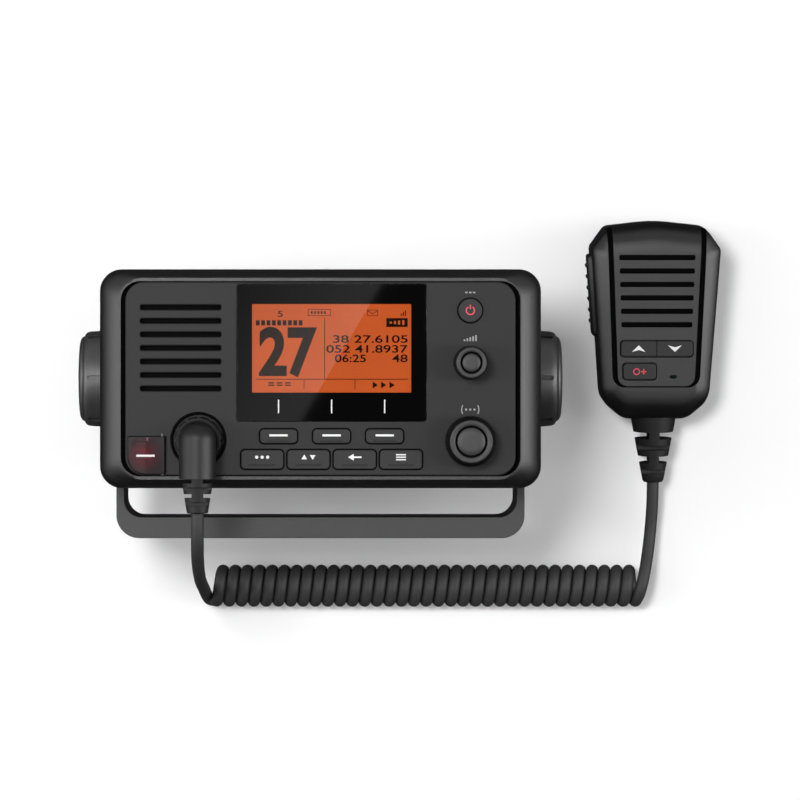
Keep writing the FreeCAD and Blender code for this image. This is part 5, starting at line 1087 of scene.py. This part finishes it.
def make_knob(body, x, y, radii, low, high, ridges, skirt_material, top_material, shade_lining):
    """Turned knob: knurled skirt, rounded rim, ring groove with its floor painted black as shade, and a
    slightly crowned cap.
    """
    radius, rim, groove_outer, groove_inner = radii
    floor = high - GROOVE_DEPTH

    def turned(ending, profile, material, closed=False):
        rings = [knurled_ring(x, y, size, z, ridges, *knurl) for size, z, *knurl in profile]
        return add_piece(body + ending, loft(rings, closed), at_radio, material, body, "knob_plastic",
                         KNOB_CREASE)

    skirt = turned("_skirt", [
        (radius - 0.7, low), (radius - 0.15, low + 0.4), (radius, low + 0.8, KNURL_DEPTH),
        (radius - 0.1, high - KNOB_SLOPE, KNURL_DEPTH), (rim + 0.15, high - 0.3, KNURL_DEPTH / 2),
        (rim - 0.1, high - 0.3), (rim - 0.5, low + 1.0)], skirt_material)
    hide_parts(body)
    profile = [(rim - 0.1, high - 1.4), (rim, high - 0.35)]
    for part in range(1, 5):
        turn = math.radians(90 * part / 4)
        profile.append((rim - 0.4 * (1 - math.cos(turn)), high - 0.35 * (1 - math.sin(turn))))
    profile += [(groove_outer + 0.2, high), (groove_outer, high - 0.2), (groove_outer, floor),
                (groove_outer, high - 1.4)]
    turned("_ring", profile, top_material, closed=True)
    # The groove floor takes the black lining: painted shade in the groove.
    turned("_floor", [(groove_outer + 0.05, floor - 0.1), (groove_outer + 0.05, floor), (0.4, floor)],
           shade_lining)
    turned("_cap", [(groove_inner, floor - 0.05), (groove_inner, high - 0.25),
                    (groove_inner - 0.22, high), (groove_inner * 0.6, high + 0.06),
                    (0.4, high + 0.1)], top_material)


SHADE_RING_PROFILE = ((10.6, 132.6), (10.6, 133.98), (10.8, 133.98), (10.8, 134.06), (10.55, 134.14),
                (9.9, 134.14), (9.65, 133.9), (9.65, 132.6))


def make_socket_shade_ring(material):
    """Black ring in the gap between the socket's collar and the panel: painted shade of the gap."""
    rings = [circle_ring(radius, z, SOCKET_X, SOCKET_Y, 96) for radius, z in SHADE_RING_PROFILE]
    add_piece("socket_seal_ring", loft(rings, closed=True), at_radio, material, "radio", "soft_rubber")


KEY_LIP = 0.5                # width of the black lip that shows round each key, painted shade of the gap round the key
KEY_LIP_HEIGHT = 0.04
KEY_GAP = 0.06               # room between a key and its lip
KEY_CORNER = 1.5
SOFT_KEY_SIZE = (14.2, 5.4)
MENU_KEY_SIZE = (16.1, 7.3)
POWER_KEY_SIZE = (9.1, 9.1)


def make_key_shade_lips(material):
    """Thin lip standing up round each key, black as painted shade of the gap round the key."""
    top = PANEL_FACE + KEY_LIP_HEIGHT
    keys = [("power_key", CONTROL_X, POWER_Y, *POWER_KEY_SIZE, POWER_KEY_SIZE[0] / 2)]
    keys += [(key, x, SOFT_KEY_Y, *SOFT_KEY_SIZE, KEY_CORNER) for key, x in SOFT_KEYS.items()]
    keys += [(key, x, MENU_KEY_Y, *MENU_KEY_SIZE, KEY_CORNER) for key, x in MENU_KEYS.items()]
    for key, x, y, width, height, radius in keys:
        rings = []
        for apart, z in ((KEY_GAP, PANEL_FACE - 0.3), (KEY_GAP, top), (KEY_LIP, top),
                             (KEY_LIP, PANEL_FACE - 0.01)):
            rings.append(round_ring(width + 2 * apart, height + 2 * apart,
                                    radius + apart - 0.001, z, x, y))
        add_piece(key + "_lip", loft(rings, closed=True), at_radio, material, "radio", "soft_rubber")


RIDGE_WIDTH = 0.62
RIDGE_TOP_WIDTH = 0.3


def make_key_ridges(material):
    """Fine moulded finger ridge across each key, below its mark."""
    keys = [(key, x, SOFT_KEY_Y - 1.65, 8.6) for key, x in SOFT_KEYS.items()]
    keys += [(key, x, MENU_KEY_Y - 2.05, 10.2) for key, x in MENU_KEYS.items()]
    for key, x, y, length in keys:
        rings = [round_ring(length, RIDGE_WIDTH, 0.3, KEY_TOP - 0.05, x, y, 3),
                 round_ring(length, RIDGE_WIDTH, 0.3, KEY_TOP + 0.1, x, y, 3),
                 round_ring(length - 0.3, RIDGE_TOP_WIDTH, 0.14, KEY_TOP + 0.28, x, y, 3)]
        add_piece(key + "_ridge", loft(rings), at_radio, material, key, "key_rubber")


COVER_X = -66.5
COVER_Y = -29.35
COVER_TOP = 134.8
COVER_TAB_HEIGHT = 0.25


def make_cover_marks(white, red):
    """Plain white dash and a lighter red finger tab on the flap."""
    dash = bar(COVER_X - 0.4, COVER_Y - 0.1, 7.0, 0.8)
    tab = bar(COVER_X - 1.6, COVER_Y + 6.2, 4.4, 1.2)
    for name, outline, height, material in (("cover_dash", dash, INK, white),
                                            ("cover_tab", tab, COVER_TAB_HEIGHT, red)):
        plates(name, [outline], COVER_TOP, COVER_TOP + height, at_radio, material, "distress_cover",
               "red_cover")


# ---- clamp knobs ----
CLAMP_AXIS_Z = 69.0
CLAMP_INNER = 81.1
CLAMP_SIDES = 96
CLAMP_FLUTES = 6
FLUTE_WIDTH = 2.0
FLUTE_DEPTH = 0.9
FLUTE_TURN = math.radians(1.0)
GRIP_RADIUS = 18.6           # at the outer end of the slots
FLUTE_END = 92.0
GRIP_CREASE = 32.0


def clamp_place(side):
    """Place function whose first value runs outward along the clamp's axis."""
    def place(out, across, up):
        return at_radio(side * out, across, CLAMP_AXIS_Z + up)
    return place


def clamp_ring(out, radius):
    return [(out, radius * math.sin(turn), radius * math.cos(turn)) for turn in turns_round(CLAMP_SIDES)]


def flute_cutter(turn, place):
    """Slot along the grip with a round outer end, at an angle about the clamp's axis."""
    outline = [(CLAMP_INNER - 1.0, -FLUTE_WIDTH / 2), (CLAMP_INNER - 1.0, FLUTE_WIDTH / 2)]
    for step in range(9):
        bend = math.radians(90 - 180 * step / 8)
        outline.append((FLUTE_END - FLUTE_WIDTH / 2 * (1 - math.cos(bend)),
                        FLUTE_WIDTH / 2 * math.sin(bend)))
    rings = []
    cosine, sine = math.cos(turn), math.sin(turn)
    for height in (GRIP_RADIUS - FLUTE_DEPTH, GRIP_RADIUS + 4.4):
        rings.append([place(out, across * cosine + height * sine, height * cosine - across * sine)
                      for out, across in outline])
    return loft(rings)


# Outline of the grip from the radio outward: place along the axis and radius.
GRIP_PROFILE = ((81.1, 17.8), (81.5, 18.9), (82.2, 19.3), (86.5, 19.15), (91.0, 18.85), (92.4, 18.6),
                (93.1, 18.2), (93.55, 17.6), (93.75, 16.95), (93.75, 16.5), (94.05, 16.5),
                (94.05, 16.9), (94.6, 16.6), (95.15, 15.9), (95.5, 14.9), (95.65, 13.4),
                (95.7, 11.0), (95.2, 9.8), (95.1, 2.0))


def make_clamp_knob(body, side, material):
    """Hand knob: slightly conical grip with six slots, a seam and a rounded cap."""
    place = clamp_place(side)
    grip = loft([clamp_ring(out, radius) for out, radius in GRIP_PROFILE])
    knob = add_piece(body + "_grip", grip, place, material, None, "knob_plastic", GRIP_CREASE)
    flutes = [flute_cutter(turn + FLUTE_TURN, place) for turn in turns_round(CLAMP_FLUTES)]
    carve(knob, flutes, GRIP_CREASE)
    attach(knob, body)
    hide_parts(body)


# ---- strain reliefs ----
RELIEF_SIDES = 40
WEB = 4.2
FLAT_CUT_SHARE = 0.7         # width of the cuts that leave a flat web, as a share of the others


def relief_shape(start, end, radius_start, radius_end, axis_x, axis_z):
    """Tapered round sleeve along -Y with a rounded tip."""
    rings = []
    for share in (0.0, 0.25, 0.5, 0.75, 0.97, 1.0):
        radius = radius_start + (radius_end - radius_start) * share
        if share == 1.0:
            radius -= 0.4
        y = start + (end - start) * share
        circle = circle_ring(radius, 0, axis_x, axis_z, RELIEF_SIDES)
        rings.append([(x, y, z) for x, z, _ in circle])
    return loft(rings)


def relief_cutters(cuts, width, axis_x, axis_z, reach, place):
    """Pairs of boxes that leave an upright web or a flat one between them, by turns."""
    shapes = []
    for index, y in enumerate(cuts):
        for side in (-1, 1):
            middle = side * (WEB / 2 + reach) / 2
            if index % 2 == 0:
                outline = bar(axis_x + middle, y, reach - WEB / 2, width)
                low, high = axis_z - reach, axis_z + reach
            else:
                outline = bar(axis_x, y, 2 * reach, width * FLAT_CUT_SHARE)
                low, high = sorted((axis_z + side * WEB / 2, axis_z + side * reach))
            shapes.append(prism(outline, low, high, place))
    return shapes


def make_relief(name, node, body, place, sleeve, cuts, width, material):
    """Ribbed sleeve in place of a CAD one. The sleeve holds start, end, two radii and the axis."""
    radius, _, *axis = sleeve[2:]
    relief = add_piece(name, relief_shape(*sleeve), place, material, None, "cord_rubber")
    carve(relief, relief_cutters(cuts, width, *axis, radius + 2.0, place))
    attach(relief, body)
    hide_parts(node)


def make_reliefs(material):
    """The two sleeves that the cord leaves the plug and the microphone through."""
    make_relief("plug_sleeve", "plug_strain_relief", "radio", at_radio,
                (-37.95, PLUG_RELIEF_END, 6.1, 4.0, SOCKET_X, ELBOW_Z),
                (-38.9, -41.7, -44.5, -47.3), 1.55, material)
    make_relief("mic_sleeve", "mic_strain_relief", "microphone", at_mic,
                (-39.6, MIC_RELIEF_END, 9.4, 4.2, 0.0, MIC_RELIEF_Z),
                (-47.4, -52.4, -57.4, -62.4), 2.8, material)


# ---- microphone ----
MIC_WAIST = 19.0             # where the front shell starts to curve in
MIC_SEAM = 13.0
MIC_FACE = 30.0
SIDE_INSET = 6.2
TOP_INSET = 9.3
FOOT_INSET = 10.4
# The crowned sides as height and inset: a tight turn, then an ever flatter slope to the face.
SIDE_CROWN = ((24.9, 0.0), (25.7, 0.12), (26.3, 0.42), (27.0, 1.05), (27.85, 2.05), (28.55, 3.1),
              (29.1, 4.2), (29.5, 5.1), (MIC_FACE, SIDE_INSET))
CROWN_RISES = (0.0, 0.18, 0.36, 0.5)
ARC_POINTS = 8
CORNER_SHARE = 0.46          # of an edge, the most that the arc at one end may take
MIC_CREASE = 30.0
# Corners from the lower right, going round through the top: place and rounding radius.
MIC_CORNERS = ((21.8, -33.0, 9.0), (26.35, 29.6, 4.0), (20.2, 38.1, 3.0), (0.0, 40.35, 60.0),
               (-20.2, 38.1, 3.0), (-26.35, 29.6, 4.0), (-21.8, -33.0, 9.0), (-13.0, -40.35, 8.0),
               (13.0, -40.35, 8.0))
EDGE_SHARES = ("side", "shoulder", "top", "top", "shoulder", "side", "slant", "foot", "slant")
FACE_INSETS = {"side": SIDE_INSET, "shoulder": 6.6, "top": TOP_INSET, "foot": FOOT_INSET, "slant": 8.6}


def cross(a, b):
    return a[0] * b[1] - a[1] * b[0]


def inset_corners(corners, insets):
    """Moves each edge of a counter-clockwise outline inward by its own distance."""
    count = len(corners)
    edges = []
    for index, inset in enumerate(insets):
        ax, ay = corners[index][:2]
        bx, by = corners[(index + 1) % count][:2]
        length = math.hypot(bx - ax, by - ay)
        along = ((bx - ax) / length, (by - ay) / length)
        edges.append(((ax - along[1] * inset, ay + along[0] * inset), along))
    moved = []
    for index in range(count):
        (px, py), before = edges[index - 1]
        (qx, qy), after = edges[index]
        reach = cross((qx - px, qy - py), after) / cross(before, after)
        moved.append((px + before[0] * reach, py + before[1] * reach))
    return moved


def round_corners(corners, radii, steps=ARC_POINTS):
    """Outline with an arc at each corner, as large as its edges leave room for."""
    count = len(corners)
    outline = []
    for index, (x, y) in enumerate(corners):
        corner = Vector((x, y))
        before = Vector(corners[index - 1]) - corner
        after = Vector(corners[(index + 1) % count]) - corner
        half = before.angle(after) / 2
        room = CORNER_SHARE * min(before.length, after.length)
        reach = min(radii[index] / math.tan(half), room)
        start = corner + before.normalized() * reach
        end = corner + after.normalized() * reach
        inward = (before.normalized() + after.normalized()).normalized()
        middle = corner + inward * (reach / math.cos(half))
        first = (start - middle).normalized()
        last = (end - middle).normalized()
        radius = (start - middle).length
        sweep = first.angle(last)
        for step in range(steps + 1):
            turn = sweep * step / steps
            spoke = (first * math.sin(sweep - turn) + last * math.sin(turn)) / math.sin(sweep)
            point = middle + spoke * radius
            outline.append((point.x, point.y))
    return outline


def side_inset(z):
    """How far the crowned sides have come in at a height."""
    inset = 0.0
    for (low, near), (high, far) in zip(SIDE_CROWN, SIDE_CROWN[1:]):
        if z > low:
            inset = near + (far - near) * min(1.0, (z - low) / (high - low))
    return inset


def mic_ring(rise, z, extra=0.0):
    """Outline of the microphone at a height. Rise runs from 0 at the waist to 1 at the face."""
    full = 1 - math.sqrt(max(0.0, 1 - rise * rise))
    late = side_inset(z) / SIDE_INSET
    shares = {"side": late, "shoulder": late, "top": full, "foot": full, "slant": full}
    insets = [FACE_INSETS[name] * shares[name] + extra for name in EDGE_SHARES]
    corners = inset_corners(MIC_CORNERS, insets)
    radii = [corner[2] for corner in MIC_CORNERS]
    return [(x, y, z) for x, y in round_corners(corners, radii)]


def front_height(x, y):
    """Height of the front shell inside its upright sides. It slopes down towards the top edge."""
    top_corner, crown = MIC_CORNERS[2], MIC_CORNERS[3]
    edge_y = crown[1] - abs(x) * (crown[1] - top_corner[1]) / top_corner[0]
    share = min(1.0, max(0.0, 1 - (edge_y - y) / TOP_INSET))
    return MIC_WAIST + (MIC_FACE - MIC_WAIST) * math.sqrt(1 - share * share)


SHELL_GROOVE_DEPTH = 1.6
GROOVE_WIDE = 2.2
GROOVE_FINE = 0.6
GROOVE_TRAPEZOID = ((17.7, -26.6), (20.6, 44.0), (-20.6, 44.0), (-17.7, -26.6))


def groove_cutter():
    """U-shaped groove round the front plate: wide along its sides and fine along its foot."""
    outer = round_corners(GROOVE_TRAPEZOID, (5.0, 1.0, 1.0, 5.0))
    inner_corners = inset_corners(GROOVE_TRAPEZOID, (GROOVE_WIDE, 1.0, GROOVE_WIDE, GROOVE_FINE))
    inner = round_corners(inner_corners, (4.0, 1.0, 1.0, 4.0))

    def dense(outline):
        points = []
        for index, (ax, ay) in enumerate(outline):
            bx, by = outline[(index + 1) % len(outline)]
            parts = 30 if math.hypot(bx - ax, by - ay) > 12 else 1
            for part in range(parts):
                share = part / parts
                points.append((ax + (bx - ax) * share, ay + (by - ay) * share))
        return points

    def floor(x, y):
        return front_height(x, y) - SHELL_GROOVE_DEPTH

    def above(x, y):
        return MIC_FACE + 4

    outside = dense(outer)
    inside = dense(inner)
    rings = []
    for outline, height in ((outside, floor), (outside, above), (inside, above), (inside, floor)):
        rings.append([at_mic(x, y, height(x, y)) for x, y in outline])
    return loft(rings, closed=True)


MIC_SLOTS = 6
MIC_SLOT_TOP = 26.5
MIC_SLOT_PITCH = 5.48
MIC_SLOT_LENGTH = 31.0
MIC_SLOT_WIDTH = 2.2
MIC_SLOT_TAPER = 0.4
MIC_SLOT_FLOOR = 28.05
ROCKER = (0.0, -10.7, 29.3, 6.4)
LOW_KEY = (-6.9, -20.0, 13.4, 6.6)
MIC_KEY_ROOM = 0.42
VOICE_HOLE = (6.8, -22.2, 1.5, 0.75)
# The sloping side that the talk bar sits in: X and Y of its lower and upper end.
PTT_SIDE_FOOT = (22.0, -30.5)
PTT_SIDE_TOP = (26.35, 29.6)
PTT_LEAN = math.atan2(PTT_SIDE_TOP[0] - PTT_SIDE_FOOT[0], PTT_SIDE_TOP[1] - PTT_SIDE_FOOT[1])
PTT_Y = 10.2
PTT_LENGTH = 33.2
PTT_HEIGHT = 12.0
PTT_DEPTH = 5.2
PTT_PROUD = 1.7
PTT_TRAVEL_ROOM = 3.2
PTT_ROOM = 0.4
PTT_NUBS = 6
PTT_NUB_PITCH = 4.57
PTT_NUB_TOP = 12.2


def at_side(out, along, z):
    """Frame on the sloping left side: out of the side, along it upward, and the height."""
    foot_x = -(PTT_SIDE_FOOT[0] + (PTT_Y - PTT_SIDE_FOOT[1]) * math.tan(PTT_LEAN))
    x = foot_x - out * math.cos(PTT_LEAN) - along * math.sin(PTT_LEAN)
    y = PTT_Y + along * math.cos(PTT_LEAN) - out * math.sin(PTT_LEAN)
    return at_mic(x, y, z)


def ptt_pocket():
    """Room in the side for the talk bar and its travel."""
    outer = PTT_PROUD + 2
    inner = PTT_PROUD - PTT_DEPTH - PTT_TRAVEL_ROOM
    half = PTT_LENGTH / 2 + PTT_ROOM
    rise = PTT_HEIGHT / 2 + PTT_ROOM
    outline = [(outer, half), (inner, half), (inner, -half), (outer, -half)]
    return prism(outline, MIC_SEAM - rise, MIC_SEAM + rise, at_side)


def mic_slot_outlines(less, radius):
    """Outlines of the loudspeaker slots, with less taken off their length and width."""
    outlines = []
    for index in range(MIC_SLOTS):
        length = MIC_SLOT_LENGTH - MIC_SLOT_TAPER * index - less
        outlines.append(round_ring(length, MIC_SLOT_WIDTH - less, radius, 0, 0.0,
                                   MIC_SLOT_TOP - MIC_SLOT_PITCH * index, 4))
    return outlines


def make_mic_front(material, shade_lining):
    """Front half shell: crowned sides, sloping top, slots, key openings and the U groove. Its cut faces
    and the cloth under the slots are painted black as shade.
    """
    rings = [mic_ring(0, MIC_SEAM + 0.12, 0.25), mic_ring(0, MIC_SEAM + 0.35)]
    rings.append(mic_ring(0, MIC_WAIST - 2))
    heights = [MIC_WAIST + (MIC_FACE - MIC_WAIST) * rise for rise in CROWN_RISES]
    heights += [height for height, _ in SIDE_CROWN]
    for height in heights:
        rings.append(mic_ring((height - MIC_WAIST) / (MIC_FACE - MIC_WAIST), height))
    shell = add_piece(MIC_FRONT, loft(rings), at_mic, material, None, "mic_plastic", MIC_CREASE)
    cutters = [groove_cutter()]
    cutters += [prism(outline, MIC_SLOT_FLOOR, MIC_FACE + 2, at_mic)
                for outline in mic_slot_outlines(0, 0.7)]
    for x, y, width, height in (ROCKER, LOW_KEY):
        outline = round_ring(width + 2 * MIC_KEY_ROOM, height + 2 * MIC_KEY_ROOM, 1.6, 0, x, y, 5)
        cutters.append(prism(outline, MIC_FACE - 3.0, MIC_FACE + 2, at_mic))
    x, y, half_width, half_height = VOICE_HOLE
    hole = [(x + half_width * px, y + half_height * py) for px, py in disc(0, 0, 1)]
    cutters += [prism(hole, MIC_FACE - 2.5, MIC_FACE + 2, at_mic), ptt_pocket()]
    # The cut faces take the black lining: painted shade in the groove, slots and openings.
    carve(shell, cutters, MIC_CREASE, shade_lining)
    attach(shell, "microphone")
    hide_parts("mic_front_shell")
    # Cloth under the slots in the black shade finish: painted shade at the slot floors.
    plates("mic_speaker_cloth", mic_slot_outlines(0.1, 0.6), MIC_SLOT_FLOOR + 0.02,
           MIC_SLOT_FLOOR + 0.12, at_mic, shade_lining, "microphone", "cloth")


MIC_SCREW_PLACES = ((0.0, 31.0), (0.0, -30.0))
MIC_SCREW_ROOM = 3.0
MIC_SCREW_SINK = 2.4
BACK_EDGE = 1.6
BACK_EDGE_HEIGHT = 1.6 * BACK_EDGE


def make_mic_back(material):
    """Back half shell with a rounded edge, screw recesses and a bare framed field."""
    rings = []
    for step in range(6, -1, -1):
        turn = math.radians(90 * step / 6)
        rings.append(mic_ring(0, BACK_EDGE_HEIGHT * (1 - math.sin(turn)),
                              BACK_EDGE * (1 - math.cos(turn))))
    for height, inset in ((-0.35, 0.0), (-0.12, 0.25), (0.12, 0.6)):
        rings.append(mic_ring(0, MIC_SEAM + height, inset))
    shell = add_piece("mic_back_shell_skin", loft(rings), at_mic, material, None, "mic_plastic",
                      MIC_CREASE)
    cutters = []
    for x, y in MIC_SCREW_PLACES:
        cutters.append(prism(disc(x, y, MIC_SCREW_ROOM), -1, MIC_SCREW_SINK, at_mic))
    cutters.append(ptt_pocket())
    outer = round_ring(26.0, 16.0, 2.0, 0, 0, -12.0)
    inner = round_ring(25.0, 15.0, 1.5, 0, 0, -12.0)
    field = []
    for outline, z in ((outer, -1), (outer, 0.35), (inner, 0.35), (inner, -1)):
        field.append([at_mic(*point) for point in at_height(outline, z)])
    cutters.append(loft(field, closed=True))
    carve(shell, cutters, MIC_CREASE)
    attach(shell, "microphone")
    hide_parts("mic_back_shell")


def make_ptt_bar(material):
    """Push-to-talk bar with rounded edges and a row of small grip nubs."""
    rings = []
    for out, inset in ((PTT_PROUD - PTT_DEPTH, 0.0), (PTT_PROUD - 0.7, 0.0), (PTT_PROUD - 0.2, 0.25),
                       (PTT_PROUD, 0.8)):
        outline = round_ring(PTT_LENGTH - 2 * inset, PTT_HEIGHT - 2 * inset, 1.4, 0, 0, MIC_SEAM, 5)
        rings.append([(out, along, z) for along, z, _ in outline])
    shapes = [loft(rings)]
    for index in range(PTT_NUBS):
        along = PTT_NUB_TOP - PTT_NUB_PITCH * index
        nub = []
        for out, size in ((PTT_PROUD - 0.1, 0.85), (PTT_PROUD + 0.5, 0.7), (PTT_PROUD + 0.7, 0.35)):
            outline = round_ring(2 * size, 2 * size + 5.0, size * 0.95, 0, along, MIC_SEAM, 4)
            nub.append([(out, place, z) for place, z, _ in outline])
        shapes.append(loft(nub))
    piece = add_piece("ptt_bar", joined(shapes), at_side, material, "ptt_button", "knob_plastic")
    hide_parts("ptt_button")


def make_mic_marks(white, red):
    """Up and down arrowheads on the rocker pair and a plain red symbol on the low key."""
    top = MIC_FACE + 0.7
    span = (top - 0.01, top + INK)
    up = [(-2.8, -1.35), (0, 1.35), (2.8, -1.35), (0, -0.55)]
    for way, x, sign in (("up", -7.35, 1), ("down", 7.35, -1)):
        arrow = [(x + px, ROCKER[1] + 0.1 + sign * py) for px, py in up]
        plates(f"mic_{way}_mark", [arrow], *span, at_mic, white, f"mic_{way}_key", "key_rubber")
    x, y = LOW_KEY[:2]
    symbol = [arc_band(x - 1.3, y, 1.2, 0.45, 0, 350, 20), bar(x + 1.6, y, 2.2, 0.5),
              bar(x + 1.6, y, 0.5, 2.2)]
    plates("mic_low_mark", symbol, *span, at_mic, red, "mic_low_key", "key_rubber")


# ---- make everything ----
make_camera()
make_stage()
make_cord(CORD_RUBBER)
make_bezel(BEZEL_PLASTIC, SHADE_BLACK)
make_slot_shade_liners(SHADE_BLACK)
make_lcd_picture(LCD_INK, LCD_PALE)
make_window_print(WINDOW_BLACK, WHITE_PRINT)
make_legends(WHITE_PRINT, GREY_PRINT, RED_PRINT)
make_knob("volume_knob", CONTROL_X, VOLUME_Y, (6.65, 5.75, 4.2, 3.45), 134.9, 147.4, 44,
          KNOB_SKIRT, KNOB_TOP, SHADE_BLACK)
make_knob("select_knob", CONTROL_X, SELECT_Y, (9.8, 8.1, 6.1, 5.3), 134.9, 146.4, 64,
          KNOB_SKIRT, KNOB_TOP, SHADE_BLACK)
make_socket_shade_ring(SHADE_BLACK)
make_key_shade_lips(SHADE_BLACK)
make_key_ridges(KEY_RUBBER)
make_cover_marks(WHITE_PRINT, COVER_TAB)
make_clamp_knob("left_clamp_knob", -1, CLAMP_PLASTIC)
make_clamp_knob("right_clamp_knob", 1, CLAMP_PLASTIC)
make_reliefs(RELIEF_RUBBER)
make_mic_front(MIC_PLASTIC, SHADE_BLACK)
make_mic_back(MIC_PLASTIC)
make_ptt_bar(PTT_PLASTIC)
make_mic_marks(WHITE_PRINT, RED_PRINT)
finish_nodes()
make_strips()
